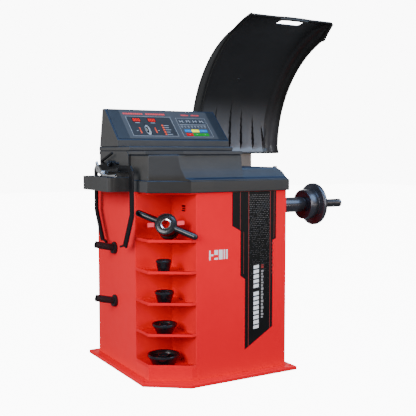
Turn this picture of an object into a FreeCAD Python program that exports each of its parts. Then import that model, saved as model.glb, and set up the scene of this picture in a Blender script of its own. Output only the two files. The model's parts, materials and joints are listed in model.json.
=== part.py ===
import FreeCAD, Part
import math
import os
import re
import Sketcher
from FreeCAD import Placement, Rotation, Vector

# Wheel balancer: a sheet-steel cabinet on a floor plate, with a corner rack for the
# centring cones, a moulded head with a sloping console, a swinging wheel guard and a
# belt-driven spindle that sticks out to the right.
# Frame: origin on the floor under the middle of the floor plate, +X towards the
# spindle's free end, -Y towards the operator, +Z up. Lengths are in millimetres.

doc = FreeCAD.newDocument("WheelBalancer")
sheet = doc.addObject("Spreadsheet::Sheet", "Sizes")
nodes = []

DRIVING_DIMENSIONS = {
    "floor plate": dict(
        plate_half_x=345, plate_half_y=358, plate_thick=16, plate_cut_x=184, plate_cut_y=237,
        plate_edge_round=5, anchor_radius=7, anchor_inset_x=20, anchor_inset_y=20, anchor_cut_y=212),
    "cabinet": dict(
        wall=2.5, cab_half_x=311, cab_half_y=316, cab_top=790, cut_x=160, cut_y=221,
        niche_x=138, niche_y=101, lip=12, shelf_sheet=2, floor_lip_top=82, shelf_pitch=129.5,
        header_lip=6, hatch_half_x=245, hatch_low=105, hatch_high=635, hatch_overlap=15,
        hatch_thick=2, screw_radius=3, screw_head_radius=6, screw_head_tall=3.5,
        louvre_long=130, louvre_tall=7, louvre_pitch=22, louvre_start=470),
    "accessory pegs": dict(
        peg_y=113, peg_low_z=291, peg_high_z=529, peg_tilt=13, peg_radius=15.5, peg_bore=11,
        peg_long=96, peg_flange_radius=26.5, peg_flange_thick=12.5),
    "spindle": dict(
        spindle_y=-126, spindle_z=708, nose_radius=20, nose_end=774, nose_start=622,
        journal_radius=15, tail_radius=12, tail_end=-10, hub_start=543, hub_radius=70,
        disc_start=598, disc_thick=22, disc_radius=99, disc_recess=6,
        housing_start=60, housing_end=540, housing_radius=35, housing_bore=27,
        bearing_radius=31, bearing_wide=16, run_fit=0.03, nose_chamfer=4,
        pulley_radius=70, pulley_start=16, pulley_wide=18, encoder_radius=40, encoder_thick=2,
        encoder_start=-4),
    "spindle support": dict(
        column_x0=70, column_x1=290, column_y0=-196, column_y1=-56, column_wall=6,
        column_top=642, sensor_tall=10, sensor_radius=12, saddle_x0=110, saddle_x1=280,
        saddle_half_y=50, saddle_half_z=56),
    "drive": dict(
        motor_y=60, motor_z=430, motor_radius=60, motor_long=150, motor_plate=6,
        motor_shaft_radius=9, motor_pulley_radius=19, belt_thick=3, belt_inset=2, belt_gap=0.15),
    "head": dict(
        band_half_x=321, band_front=325, band_back=321, band_tall=50, band_cut_x=167,
        band_cut_y=238, low_top=887, body_top=945, body_left=311, body_front=300,
        body_back=264, body_cut_x=207, body_cut_y=232, step_x0=90,
        step_x1=188, step_x2=246, platform_front=73, console_front=47, moulding=4,
        deck_thick=14, platform_thick=20),
    "weight pockets": dict(
        well_x0=-180, well_y0=-272, well_long=72, well_wide=78, well_gap=6, well_deep=44),
    "side wing": dict(
        wing_left=424, wing_front=85, wing_back=224, wing_low=790, wing_top=850, wing_round=28,
        wing_recess=8, cheek_front=62, cheek_low=868, cheek_round=24),
    "console": dict(
        console_left=323, console_right=243, console_floor=979, console_lip=1007,
        console_top_y=194, console_top=1149, console_ridge=218, console_back=254,
        face_margin=8, face_thick=2, board_thick=12, board_gap=14),
    "wheel guard": dict(
        guard_x0=249, guard_x1=718, guard_y=-245, guard_z=966, guard_radius=620, guard_wall=4,
        guard_sweep=79, guard_dip=1.8, guard_turn=60, turn_slant=7.3, flange_y=-109,
        flange_z=1001.5, flange_radius=543, flange_back=408, pivot_y=362, pivot_z=765,
        pivot_radius=17, pivot_x0=150, pivot_x1=592, arm_x0=507, arm_x1=589, arm_thick=8,
        arm_top=1100, slot_long=150, slot_angle0=73, slot_angle1=76, bracket_wide=40,
        bracket_tall=60, bracket_low_x=165, bracket_high_x=260),
    "distance gauge": dict(
        gauge_y=-201, gauge_z=866, gauge_radius=6, gauge_tail=40, gauge_nose=326,
        gauge_boss_radius=11, gauge_head_thick=12, gauge_head_top=893, gauge_head_low=848),
    "rim caliper": dict(
        caliper_y=40, caliper_z=905, caliper_x=-341, caliper_thick=9, caliper_bar=27,
        caliper_reach=205, caliper_shoulder_z=886, caliper_knee_z=695, caliper_tip_z=562,
        caliper_tip_reach=134, caliper_foot=46, caliper_foot_bar=8, hook_pin_radius=5,
        eyelet_radius=9, knob_radius=14),
    "weight pliers": dict(
        pliers_x=-392, pliers_thick=8, pliers_y=72, pliers_z=865, pliers_rivet=5),
    "quick nut": dict(
        nut_x=-223.7, nut_y=-222.1, nut_z=652.1, nut_ring_radius=46, nut_bore=20.6, nut_ring_long=26,
        nut_neck_radius=34, nut_neck_long=30, nut_bar_long=132, nut_bar_radius=13.5,
        nut_bar_droop=-22, nut_tilt=26, nut_heading=50, nut_cup_radius=44, nut_cup_long=24,
        nut_cup_wall=4, nut_lever_long=30, nut_lever_wide=20, nut_lever_thick=8, nut_lever_turn=27),
    "cones": dict(cone_bore=20.1, cone_rim=9, cone_cup=8, cone_wall=7),
    "mains entry": dict(
        inlet_x=-270, inlet_low=262, inlet_high=344, inlet_half_x=24, inlet_deep=34,
        rocker_half_x=9, rocker_tall=22, rocker_z=322, rocker_pin_radius=1.5),
}

# Centring cones: rack level (0 is the rack's floor), place on the shelf, top radius,
# bottom radius and height.
CONES = {
    "cone_extra_large": (0, -229, -197, 67, 50, 42),
    "cone_large": (1, -230, -208, 52, 31.5, 44),
    "cone_medium": (2, -232.6, -213, 40, 27.5, 50),
    "cone_small": (3, -236, -214, 32.5, 24, 51.5),
}


# ---------------------------------------------------------------- helpers

def fill_sheet():
    row = 1
    for group, cells in DRIVING_DIMENSIONS.items():
        sheet.set("A%d" % row, group)
        row += 1
        for name, value in cells.items():
            sheet.set("A%d" % row, name)
            sheet.set("B%d" % row, str(value))
            sheet.setAlias("B%d" % row, name)
            row += 1
    doc.recompute()


def size(name):
    return float(sheet.get(name))


def bind(obj, prop, formula):
    """Bind a property to a formula of spreadsheet names."""
    text = re.sub(r"\b([a-z][a-z_0-9]*_[a-z_0-9]+|wall|lip|moulding)\b", r"Sizes.\1", str(formula))
    obj.setExpression(prop, text)


def keep(obj, label):
    obj.Label = label
    nodes.append(obj)
    return obj


def place(obj, x=0, y=0, z=0, turn=None):
    if turn is not None:
        obj.Placement = Placement(Vector(), turn)
    for axis, formula in zip("xyz", (x, y, z)):
        bind(obj, "Placement.Base." + axis, formula)


def box(name, low, span):
    """A block from its low corner and its three lengths."""
    obj = doc.addObject("Part::Box", name)
    for prop, formula in zip(("Length", "Width", "Height"), span):
        bind(obj, prop, formula)
    place(obj, *low)
    return obj


TURNS = {
    "z": Rotation(),
    "x": Rotation(Vector(0, 1, 0), 90),
    "y": Rotation(Vector(1, 0, 0), -90),
    "-x": Rotation(Vector(0, 1, 0), -90),
}


def rod(name, radius, length, base, axis="z"):
    """A cylinder from the middle of its first end, along an axis."""
    obj = doc.addObject("Part::Cylinder", name)
    bind(obj, "Radius", radius)
    bind(obj, "Height", length)
    place(obj, *base, turn=TURNS[axis])
    return obj


def cut(name, base, *tools):
    tool = tools[0] if len(tools) == 1 else fuse(name + "_tools", *tools)
    obj = doc.addObject("Part::Cut", name)
    obj.Base = base
    obj.Tool = tool
    return obj


def fuse(name, *shapes):
    obj = doc.addObject("Part::MultiFuse", name)
    obj.Shapes = list(shapes)
    return obj


def compound(name, *shapes):
    obj = doc.addObject("Part::Compound", name)
    obj.Links = list(shapes)
    return obj


def new_body(name):
    return doc.addObject("PartDesign::Body", name)


def sketch_on(body, plane, name, offset=0):
    """A sketch on one of the body's own origin planes, moved along its normal."""
    sketch = body.newObject("Sketcher::SketchObject", name)
    role = [feature for feature in body.Origin.OriginFeatures if feature.Role == plane][0]
    sketch.AttachmentSupport = [(role, "")]
    sketch.MapMode = "FlatFace"
    bind(sketch, "AttachmentOffset.Base.z", offset)
    return sketch


def polygon(sketch, corners):
    """A closed outline whose corners are formulas of spreadsheet names."""
    count = len(corners)
    rough = [Vector(10 * math.cos(2 * math.pi * i / count), 10 * math.sin(2 * math.pi * i / count), 0)
             for i in range(count)]
    first = sketch.GeometryCount
    for i in range(count):
        sketch.addGeometry(Part.LineSegment(rough[i], rough[(i + 1) % count]), False)
    for i in range(count):
        following = first + (i + 1) % count
        sketch.addConstraint(Sketcher.Constraint("Coincident", first + i, 2, following, 1))
    for i, corner in enumerate(corners):
        for kind, formula in zip(("DistanceX", "DistanceY"), corner):
            index = sketch.addConstraint(Sketcher.Constraint(kind, -1, 1, first + i, 1, 1.0))
            bind(sketch, "Constraints[%d]" % index, formula)


def circle(sketch, x, y, radius):
    index = sketch.addGeometry(Part.Circle(Vector(1, 1, 0), Vector(0, 0, 1), 1), False)
    rules = (("DistanceX", (-1, 1, index, 3), x), ("DistanceY", (-1, 1, index, 3), y))
    for kind, where, formula in rules:
        rule = sketch.addConstraint(Sketcher.Constraint(kind, *where, 1.0))
        bind(sketch, "Constraints[%d]" % rule, formula)
    rule = sketch.addConstraint(Sketcher.Constraint("Radius", index, 1.0))
    bind(sketch, "Constraints[%d]" % rule, radius)


def pad(body, sketch, length, name):
    feature = body.newObject("PartDesign::Pad", name)
    feature.Profile = sketch
    bind(feature, "Length", length)
    sketch.Visibility = False
    return feature


def pocket(body, sketch, length, name, reverse=True):
    """A pocket that goes up from its sketch, or down where reverse is False."""
    feature = body.newObject("PartDesign::Pocket", name)
    feature.Profile = sketch
    bind(feature, "Length", length)
    feature.Reversed = reverse
    sketch.Visibility = False
    return feature


def prism(name, plane, corners, length, offset=0):
    """A body padded from one closed outline."""
    body = new_body(name)
    sketch = sketch_on(body, plane, name + "_outline", offset)
    polygon(sketch, corners)
    pad(body, sketch, length, name + "_pad")
    return body


def edges_where(feature, test):
    doc.recompute()
    edges = feature.Shape.Edges
    return ["Edge%d" % (i + 1) for i, edge in enumerate(edges) if test(edge)]


def round_edges(body, radius, test, name):
    tip = body.Tip
    names = edges_where(tip, test)
    fillet = body.newObject("PartDesign::Fillet", name)
    fillet.Base = (tip, names)
    bind(fillet, "Radius", radius)
    return fillet


def shaped(name, shape):
    """A piece whose shape is made directly from spreadsheet values."""
    obj = doc.addObject("Part::Feature", name)
    obj.Shape = shape
    return obj


# ---------------------------------------------------------------- floor plate

def floor_plate():
    body = prism("floor_plate", "XY_Plane", [
        ("-plate_half_x", "plate_half_y"), ("-plate_half_x", "-plate_cut_y"),
        ("-plate_cut_x", "-plate_half_y"), ("plate_half_x", "-plate_half_y"),
        ("plate_half_x", "plate_half_y")], "plate_thick")
    top = size("plate_thick")
    round_edges(body, "plate_edge_round", lambda edge: edge.BoundBox.ZMin > top - 0.1, "plate_round")
    holes = sketch_on(body, "XY_Plane", "anchor_holes")
    far_x = "(plate_half_x - anchor_inset_x)"
    far_y = "(plate_half_y - anchor_inset_y)"
    for x, y in (("-" + far_x, far_y), (far_x, far_y), (far_x, "-" + far_y),
                 ("-" + far_x, "-anchor_cut_y")):
        circle(holes, x, y, "anchor_radius")
    pocket(body, holes, "plate_thick", "anchor_pocket")
    keep(body, "base_plate")


# ---------------------------------------------------------------- cabinet sheets

def cabinet_sheets():
    tall = "cab_top - plate_thick"
    left = box("left_sheet", ("-cab_half_x", "-niche_y", "plate_thick"),
               ("wall", "niche_y + cab_half_y", tall))
    keep(left, "cabinet_left_panel")
    front = box("front_sheet", ("-niche_x", "-cab_half_y", "plate_thick"),
                ("niche_x + cab_half_x", "wall", tall))
    keep(front, "cabinet_front_panel")
    right = box("right_sheet", ("cab_half_x - wall", "wall - cab_half_y", "plate_thick"),
                ("wall", "2 * cab_half_y - wall", tall))
    opening = rod("right_opening", "housing_radius + 5", "4 * wall",
                  ("cab_half_x - 2 * wall", "spindle_y", "spindle_z"), "x")
    keep(cut("right_panel_cut", right, opening), "cabinet_right_panel")
    rear = box("rear_sheet", ("wall - cab_half_x", "cab_half_y - wall", "plate_thick"),
               ("2 * (cab_half_x - wall)", "wall", tall))
    hatch = box("rear_opening", ("hatch_overlap - hatch_half_x", "cab_half_y - 2 * wall",
                                 "hatch_low + hatch_overlap"),
                ("2 * (hatch_half_x - hatch_overlap)", "3 * wall",
                 "hatch_high - hatch_low - 2 * hatch_overlap"))
    keep(cut("rear_panel_cut", rear, hatch, mains_cutout(), *screw_holes("panel")), "cabinet_rear_panel")
    keep(box("rack_back_sheet", ("wall - cab_half_x", "-niche_y", "plate_thick"),
             ("cab_half_x - wall - niche_x", "wall", tall)), "rack_back_wall")
    keep(box("rack_side_sheet", ("-niche_x", "wall - cab_half_y", "plate_thick"),
             ("wall", "cab_half_y - niche_y", tall)), "rack_side_wall")


# The rear cover's screws: a tag for names, then the formulas for X and Z.
SCREW_PLACES = [("_%d%d" % (column, row), x, z)
                for column, x in enumerate(("8 - hatch_half_x", "hatch_half_x - 8"))
                for row, z in enumerate(("hatch_low + 8", "(hatch_low + hatch_high) / 2",
                                         "hatch_high - 8"))]


def screw_holes(name):
    return [rod(name + "_hole" + tag, "screw_radius", "4 * wall", (x, "cab_half_y - 2 * wall", z), "y")
            for tag, x, z in SCREW_PLACES]


def mains_cutout():
    return box("mains_cutout", ("inlet_x - inlet_half_x + 3", "cab_half_y - 2 * wall", "inlet_low + 3"),
               ("2 * inlet_half_x - 6", "4 * wall", "inlet_high - inlet_low - 6"))


def rack_outline(inset):
    """The rack's plan, its three open edges moved in by an inset."""
    slope = (size("cut_y") - size("cab_half_y")) / (size("cab_half_x") - size("cut_x"))
    lean = math.sqrt(1 + slope * slope)
    shift = "%s * %.5f" % (inset, lean)
    ratio = "((cab_half_y - cut_y) / (cab_half_x - cut_x))"
    return [
        ("-cab_half_x + %s" % inset, "-niche_y"),
        ("-cab_half_x + %s" % inset, "-cut_y - %s * %s + %s" % (inset, ratio, shift)),
        ("-cut_x - (%s - %s) / %s" % (shift, inset, ratio), "-cab_half_y + %s" % inset),
        ("-niche_x", "-cab_half_y + %s" % inset),
        ("-niche_x", "-niche_y"),
    ]


def tray(label, top, lip):
    """A folded shelf: a flat sheet with a lip that stands up along its open edges."""
    body = prism(label + "_body", "XY_Plane", rack_outline("0"), lip, "%s - (%s)" % (top, lip))
    inside = sketch_on(body, "XY_Plane", label + "_inside", top)
    polygon(inside, rack_outline("shelf_sheet"))
    pocket(body, inside, "%s - shelf_sheet" % lip, label + "_pocket", reverse=False)
    keep(body, label)


def rack():
    tray("rack_floor", "floor_lip_top", "lip")
    for level in range(1, 5):
        tray("rack_shelf_%d" % level, "(floor_lip_top + %d * shelf_pitch)" % level, "lip")
    header = prism("rack_header_body", "XY_Plane", rack_outline("0"), "header_lip",
                   "cab_top - header_lip")
    keep(header, "rack_header")
    kick = prism("rack_kick_body", "XY_Plane", rack_outline("0"),
                 "floor_lip_top - lip - plate_thick", "plate_thick")
    hollow = sketch_on(kick, "XY_Plane", "rack_kick_inside", "plate_thick")
    polygon(hollow, rack_outline("wall"))
    pocket(kick, hollow, "floor_lip_top - lip - plate_thick", "rack_kick_pocket")
    keep(kick, "rack_kick_panel")


def rear_hatch():
    body = prism("rear_hatch", "XZ_Plane", [
        ("-hatch_half_x", "hatch_low"), ("hatch_half_x", "hatch_low"),
        ("hatch_half_x", "hatch_high"), ("-hatch_half_x", "hatch_high")],
        "hatch_thick", "-(cab_half_y + hatch_thick)")
    vents = sketch_on(body, "XZ_Plane", "vent_outline", "-(cab_half_y + hatch_thick)")
    polygon(vents, [("-louvre_long / 2", "louvre_start"), ("louvre_long / 2", "louvre_start"),
                    ("louvre_long / 2", "louvre_start + louvre_tall"),
                    ("-louvre_long / 2", "louvre_start + louvre_tall")])
    slot = pocket(body, vents, "hatch_thick", "vent_pocket")
    rows = body.newObject("PartDesign::LinearPattern", "vent_rows")
    rows.Originals = [slot]
    rows.Direction = (vents, ["V_Axis"])
    bind(rows, "Length", "5 * louvre_pitch")
    rows.Occurrences = 6
    body.Tip = rows
    screws = []
    for tag, x, z in SCREW_PLACES:
        shank = rod("screw_shank" + tag, "screw_radius", "hatch_thick + wall + 6",
                    (x, "cab_half_y - wall - 6", z), "y")
        head = rod("screw_head" + tag, "screw_head_radius", "screw_head_tall",
                   (x, "cab_half_y + hatch_thick", z), "y")
        screws.append(fuse("screw" + tag, shank, head))
    keep(cut("rear_hatch_drilled", body, *screw_holes("cover")), "rear_cover")
    keep(compound("hatch_screws", *screws), "rear_cover_screws")


def accessory_pegs():
    for label, height in (("peg_upper", "peg_high_z"), ("peg_lower", "peg_low_z")):
        turn = Rotation(Vector(0, 1, 0), -90 + size("peg_tilt"))
        body = new_body(label + "_body")
        profile = sketch_on(body, "XZ_Plane", label + "_profile")
        polygon(profile, [("0", "2"), ("peg_flange_radius", "2"),
                          ("peg_flange_radius", "peg_flange_thick"),
                          ("peg_radius", "peg_flange_thick"), ("peg_radius", "peg_long"),
                          ("peg_bore", "peg_long"), ("peg_bore", "peg_flange_thick + 20"),
                          ("0", "peg_flange_thick + 20")])
        spin = body.newObject("PartDesign::Revolution", label + "_spin")
        spin.Profile = profile
        spin.ReferenceAxis = (profile, ["V_Axis"])
        spin.Angle = 360
        place(body, "-cab_half_x", "peg_y", height, turn)
        foot = box(label + "_foot", ("-cab_half_x - peg_long", "peg_y - peg_flange_radius - 5",
                                     height + " - peg_flange_radius - 20"),
                   ("peg_long", "2 * peg_flange_radius + 10", "2 * peg_flange_radius + 80"))
        wedge = rod(label + "_wedge", "peg_flange_radius - 1.5", "6.5",
                    ("-cab_half_x", "peg_y", height), "-x")
        clipped = doc.addObject("Part::Common", label + "_clipped")
        clipped.Base = body
        clipped.Tool = foot
        keep(fuse(label + "_whole", clipped, wedge), label)


# ---------------------------------------------------------------- spindle and drive

def spindle_support():
    column = prism("column_body", "XY_Plane", [
        ("column_x0", "column_y0"), ("column_x1", "column_y0"), ("column_x1", "column_y1"),
        ("column_x0", "column_y1")], "column_top - plate_thick", "plate_thick")
    inside = sketch_on(column, "XY_Plane", "column_inside", "plate_thick")
    polygon(inside, [("column_x0 + column_wall", "column_y0 + column_wall"),
                     ("column_x1 - column_wall", "column_y0 + column_wall"),
                     ("column_x1 - column_wall", "column_y1 - column_wall"),
                     ("column_x0 + column_wall", "column_y1 - column_wall")])
    pocket(column, inside, "column_top - plate_thick - column_wall", "column_pocket")
    keep(column, "spindle_column")
    sensors = [rod("sensor_%d" % i, "sensor_radius", "sensor_tall", (x, "spindle_y", "column_top"))
               for i, x in enumerate(("saddle_x0 + 25", "saddle_x1 - 25"))]
    keep(compound("sensor_pair", *sensors), "piezo_sensors")
    block = box("saddle_block", ("saddle_x0", "spindle_y - saddle_half_y", "column_top + sensor_tall"),
                ("saddle_x1 - saddle_x0", "2 * saddle_half_y",
                 "spindle_z + saddle_half_z - column_top - sensor_tall"))
    bore = rod("saddle_bore", "housing_radius", "saddle_x1 - saddle_x0 + 20",
               ("saddle_x0 - 10", "spindle_y", "spindle_z"), "x")
    keep(cut("saddle_cut", block, bore), "spindle_saddle")


def turned(label, steps, axis_y, axis_z):
    """A turned piece along X: steps are (start, end, outer radius, inner radius)."""
    body = new_body(label + "_body")
    for i, (start, end, outer, inner) in enumerate(steps):
        profile = sketch_on(body, "YZ_Plane", "%s_ring_%d" % (label, i), start)
        circle(profile, 0, 0, outer)
        if inner:
            circle(profile, 0, 0, inner)
        pad(body, profile, "(%s) - (%s)" % (end, start), "%s_step_%d" % (label, i))
    place(body, 0, axis_y, axis_z)
    return body


def spindle():
    at = ("spindle_y", "spindle_z")
    b_in = "housing_start + bearing_wide"
    b_out = "housing_end - bearing_wide"
    housing = turned("housing", [
        ("housing_start", b_in, "housing_radius", "bearing_radius"),
        (b_in, b_out, "housing_radius", "housing_bore"),
        (b_out, "housing_end", "housing_radius", "bearing_radius")], *at)
    keep(housing, "spindle_housing")
    rings = [turned("bearing_%d" % i, [(start, start + " + bearing_wide", "bearing_radius",
                                         "journal_radius + run_fit")], *at)
             for i, start in enumerate(("housing_start", "(housing_end - bearing_wide)"))]
    keep(compound("bearing_pair", *rings), "spindle_bearings")
    shaft = turned("shaft", [
        ("tail_end", "housing_start - 10", "tail_radius", None),
        ("housing_start - 10", "nose_start", "journal_radius", None),
        ("nose_start", "nose_end", "nose_radius", None)], *at)
    end = size("nose_end")
    tip = shaft.Tip
    names = edges_where(tip, lambda edge: edge.BoundBox.XMin > end - 0.1)
    bevel = shaft.newObject("PartDesign::Chamfer", "nose_bevel")
    bevel.Base = (tip, names)
    bind(bevel, "Size", "nose_chamfer")
    keep(shaft, "spindle_shaft")
    hub = turned("hub", [("hub_start", "disc_start", "hub_radius", "journal_radius")], *at)
    keep(hub, "spindle_hub")
    disc = turned("disc", [
        ("disc_start", "disc_start + disc_thick - disc_recess", "disc_radius", "journal_radius"),
        ("disc_start + disc_thick - disc_recess", "disc_start + disc_thick", "disc_radius",
         "disc_radius - 16")], *at)
    keep(disc, "mounting_disc")
    pulley = turned("big_pulley", [
        ("pulley_start", "pulley_start + pulley_wide", "pulley_radius", "tail_radius")], *at)
    keep(pulley, "spindle_pulley")
    encoder = turned("encoder", [
        ("encoder_start", "encoder_start + encoder_thick", "encoder_radius", "tail_radius")], *at)
    keep(encoder, "encoder_disc")


def drive():
    at = ("motor_y", "motor_z")
    keep(turned("motor_case", [
        ("column_x0", "column_x0 + motor_long", "motor_radius", "motor_shaft_radius + run_fit")], *at),
        "drive_motor")
    plate = box("motor_plate_block", ("column_x0 - motor_plate", "column_y0", "motor_z - 75"),
                ("motor_plate", "motor_y + 75 - column_y0", "150"))
    hole = rod("motor_plate_hole", "motor_shaft_radius + 4", "motor_plate + 20",
               ("column_x0 - motor_plate - 10", "motor_y", "motor_z"), "x")
    keep(cut("motor_plate_cut", plate, hole), "motor_bracket")
    rotor = turned("rotor", [
        ("pulley_start", "pulley_start + pulley_wide", "motor_pulley_radius", None),
        ("pulley_start + pulley_wide", "column_x0 + motor_long - 10", "motor_shaft_radius", None)], *at)
    keep(rotor, "motor_pulley")
    keep(shaped("belt_loop", belt_shape()), "drive_belt")


def belt_shape():
    """The loop of belt round the two pulleys: two arcs and the straight runs between."""
    big = Vector(0, size("spindle_y"), size("spindle_z"))
    small = Vector(0, size("motor_y"), size("motor_z"))
    gap = size("belt_gap")
    start = size("pulley_start") + size("belt_inset")
    width = size("pulley_wide") - 2 * size("belt_inset")
    loops = []
    for extra in (gap, gap + size("belt_thick")):
        big_r = size("pulley_radius") + extra
        small_r = size("motor_pulley_radius") + extra
        line = small - big
        heading = math.atan2(line.z, line.y)
        spread = math.acos((big_r - small_r) / line.Length)

        def on(centre, radius, angle):
            return centre + Vector(start, radius * math.cos(angle), radius * math.sin(angle))

        up, down = heading + spread, heading - spread
        back = heading + math.pi
        edges = [
            Part.Arc(on(big, big_r, up), on(big, big_r, back), on(big, big_r, down)).toShape(),
            Part.LineSegment(on(big, big_r, down), on(small, small_r, down)).toShape(),
            Part.Arc(on(small, small_r, down), on(small, small_r, heading),
                     on(small, small_r, up)).toShape(),
            Part.LineSegment(on(small, small_r, up), on(big, big_r, up)).toShape(),
        ]
        loops.append(Part.Face(Part.Wire(edges)).extrude(Vector(width, 0, 0)))
    return loops[1].cut(loops[0])


# ---------------------------------------------------------------- electrics

def electrics():
    keep(box("power_block", ("wall - cab_half_x", "40", "360"), ("42", "150", "130")), "power_supply")
    inlet = box("inlet_block", ("inlet_x - inlet_half_x + 3", "cab_half_y - inlet_deep", "inlet_low + 3"),
                ("2 * inlet_half_x - 6", "inlet_deep", "inlet_high - inlet_low - 6"))
    flange = box("inlet_flange", ("inlet_x - inlet_half_x", "cab_half_y", "inlet_low"),
                 ("2 * inlet_half_x", "hatch_thick", "inlet_high - inlet_low"))
    socket = box("inlet_socket", ("inlet_x - 13", "cab_half_y - 16", "inlet_low + 12"),
                 ("26", "30", "18"))
    recess = box("rocker_recess", ("inlet_x - rocker_half_x - 1", "cab_half_y - 14",
                                   "rocker_z - rocker_tall / 2 - 1"),
                 ("2 * rocker_half_x + 2", "30", "rocker_tall + 2"))
    keep(cut("inlet_cut", fuse("inlet_whole", inlet, flange), socket, recess), "power_inlet")
    rocker = prism("rocker_body", "YZ_Plane", [
        ("cab_half_y - 8", "rocker_z - rocker_tall / 2 + 1.5"),
        ("cab_half_y + 1.5", "rocker_z - rocker_tall / 2 + 0.5"), ("cab_half_y + 3.5", "rocker_z"),
        ("cab_half_y + 5.5", "rocker_z + rocker_tall / 2 - 0.5"),
        ("cab_half_y - 8", "rocker_z + rocker_tall / 2 - 1.5")], "2 * rocker_half_x",
        "inlet_x - rocker_half_x")
    pins = rod("rocker_pins", "rocker_pin_radius", "2 * rocker_half_x + 1.8",
               ("inlet_x - rocker_half_x - 0.9", "cab_half_y - 4", "rocker_z"), "x")
    keep(fuse("rocker_whole", rocker, pins), "power_rocker")


# ---------------------------------------------------------------- head mouldings

def stepped_plan(left, back, front, cut_x, cut_y, inset="0"):
    """Head outline with the corner cut on the left and the slanting step on the right."""
    far = "(%s)" % inset
    return [
        ("-(%s) + %s" % (left, far), "%s - %s" % (back, far)),
        ("-(%s) + %s" % (left, far), "-(%s) + %s / 2" % (cut_y, far)),
        ("-(%s) + %s / 2" % (cut_x, far), "-(%s) + %s" % (front, far)),
        ("step_x0 - %s" % far, "-(%s) + %s" % (front, far)),
        ("step_x1 - %s" % far, "-platform_front"),
        ("step_x2 - %s" % far, "console_front"),
        ("step_x2 - %s" % far, "%s - %s" % (back, far)),
    ]


def plain_plan(half_x, back, front, cut_x, cut_y, inset="0"):
    far = "(%s)" % inset
    return [
        ("-(%s) + %s" % (half_x, far), "%s - %s" % (back, far)),
        ("-(%s) + %s" % (half_x, far), "-(%s) + %s / 2" % (cut_y, far)),
        ("-(%s) + %s / 2" % (cut_x, far), "-(%s) + %s" % (front, far)),
        ("%s - %s" % (half_x, far), "-(%s) + %s" % (front, far)),
        ("%s - %s" % (half_x, far), "%s - %s" % (back, far)),
    ]


def top_cover():
    body = new_body("top_cover_body")
    band = ("band_half_x", "band_back", "band_front", "band_cut_x", "band_cut_y")
    low = ("body_left", "body_back", "body_front", "body_cut_x", "body_cut_y")
    high = ("body_left", "body_back", "body_front", "body_cut_x", "body_cut_y")
    edge = "cab_top + band_tall"
    stages = (("band", plain_plan(*band), "cab_top", "band_tall"),
              ("low", plain_plan(*low), edge, "low_top - (%s)" % edge),
              ("high", stepped_plan(*high), "low_top", "body_top - low_top"))
    for tag, corners, start, length in stages:
        outline = sketch_on(body, "XY_Plane", "cover_%s" % tag, start)
        polygon(outline, corners)
        pad(body, outline, length, "cover_%s_pad" % tag)
    hollows = (("band", plain_plan(*band, inset="moulding + 10"), "cab_top", "band_tall - moulding"),
               ("low", plain_plan(*low, inset="moulding"), edge + " - moulding",
                "low_top - (%s)" % edge),
               ("high", stepped_plan(*high, inset="moulding"), "low_top - moulding",
                "body_top - low_top + 2 * moulding"))
    for tag, corners, start, length in hollows:
        outline = sketch_on(body, "XY_Plane", "cover_%s_hollow" % tag, start)
        polygon(outline, corners)
        pocket(body, outline, length, "cover_%s_pocket" % tag)
    boss = rod("gauge_boss", "gauge_boss_radius", "24", ("body_left - 24", "gauge_y", "gauge_z"), "x")
    hole = rod("gauge_hole", "gauge_radius + run_fit", "60", ("body_left - 30", "gauge_y", "gauge_z"), "x")
    keep(cut("top_cover_cut", fuse("top_cover_boss", body, boss), hole), "top_cover")


def weight_tray():
    body = prism("weight_tray_body", "XY_Plane", stepped_plan(
        "band_half_x", "body_back", "body_front + 5", "body_cut_x - 16", "body_cut_y - 8"),
        "deck_thick", "body_top")
    wells = sketch_on(body, "XY_Plane", "well_block", "body_top + deck_thick - well_deep")
    polygon(wells, [("well_x0 - 3", "well_y0 - 3"),
                    ("well_x0 + 3 * well_long + 2 * well_gap + 3", "well_y0 - 3"),
                    ("well_x0 + 3 * well_long + 2 * well_gap + 3", "well_y0 + 2 * well_wide + well_gap + 3"),
                    ("well_x0 - 3", "well_y0 + 2 * well_wide + well_gap + 3")])
    pad(body, wells, "well_deep - 1", "well_block_pad")
    pockets = sketch_on(body, "XY_Plane", "well_pockets", "body_top + deck_thick")
    for column in range(3):
        for row in range(2):
            x = "well_x0 + %d * (well_long + well_gap)" % column
            y = "well_y0 + %d * (well_wide + well_gap)" % row
            polygon(pockets, [(x, y), (x + " + well_long", y), (x + " + well_long", y + " + well_wide"),
                              (x, y + " + well_wide")])
    pocket(body, pockets, "well_deep - 3", "well_cut", reverse=False)
    keep(body, "weight_tray")


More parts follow.
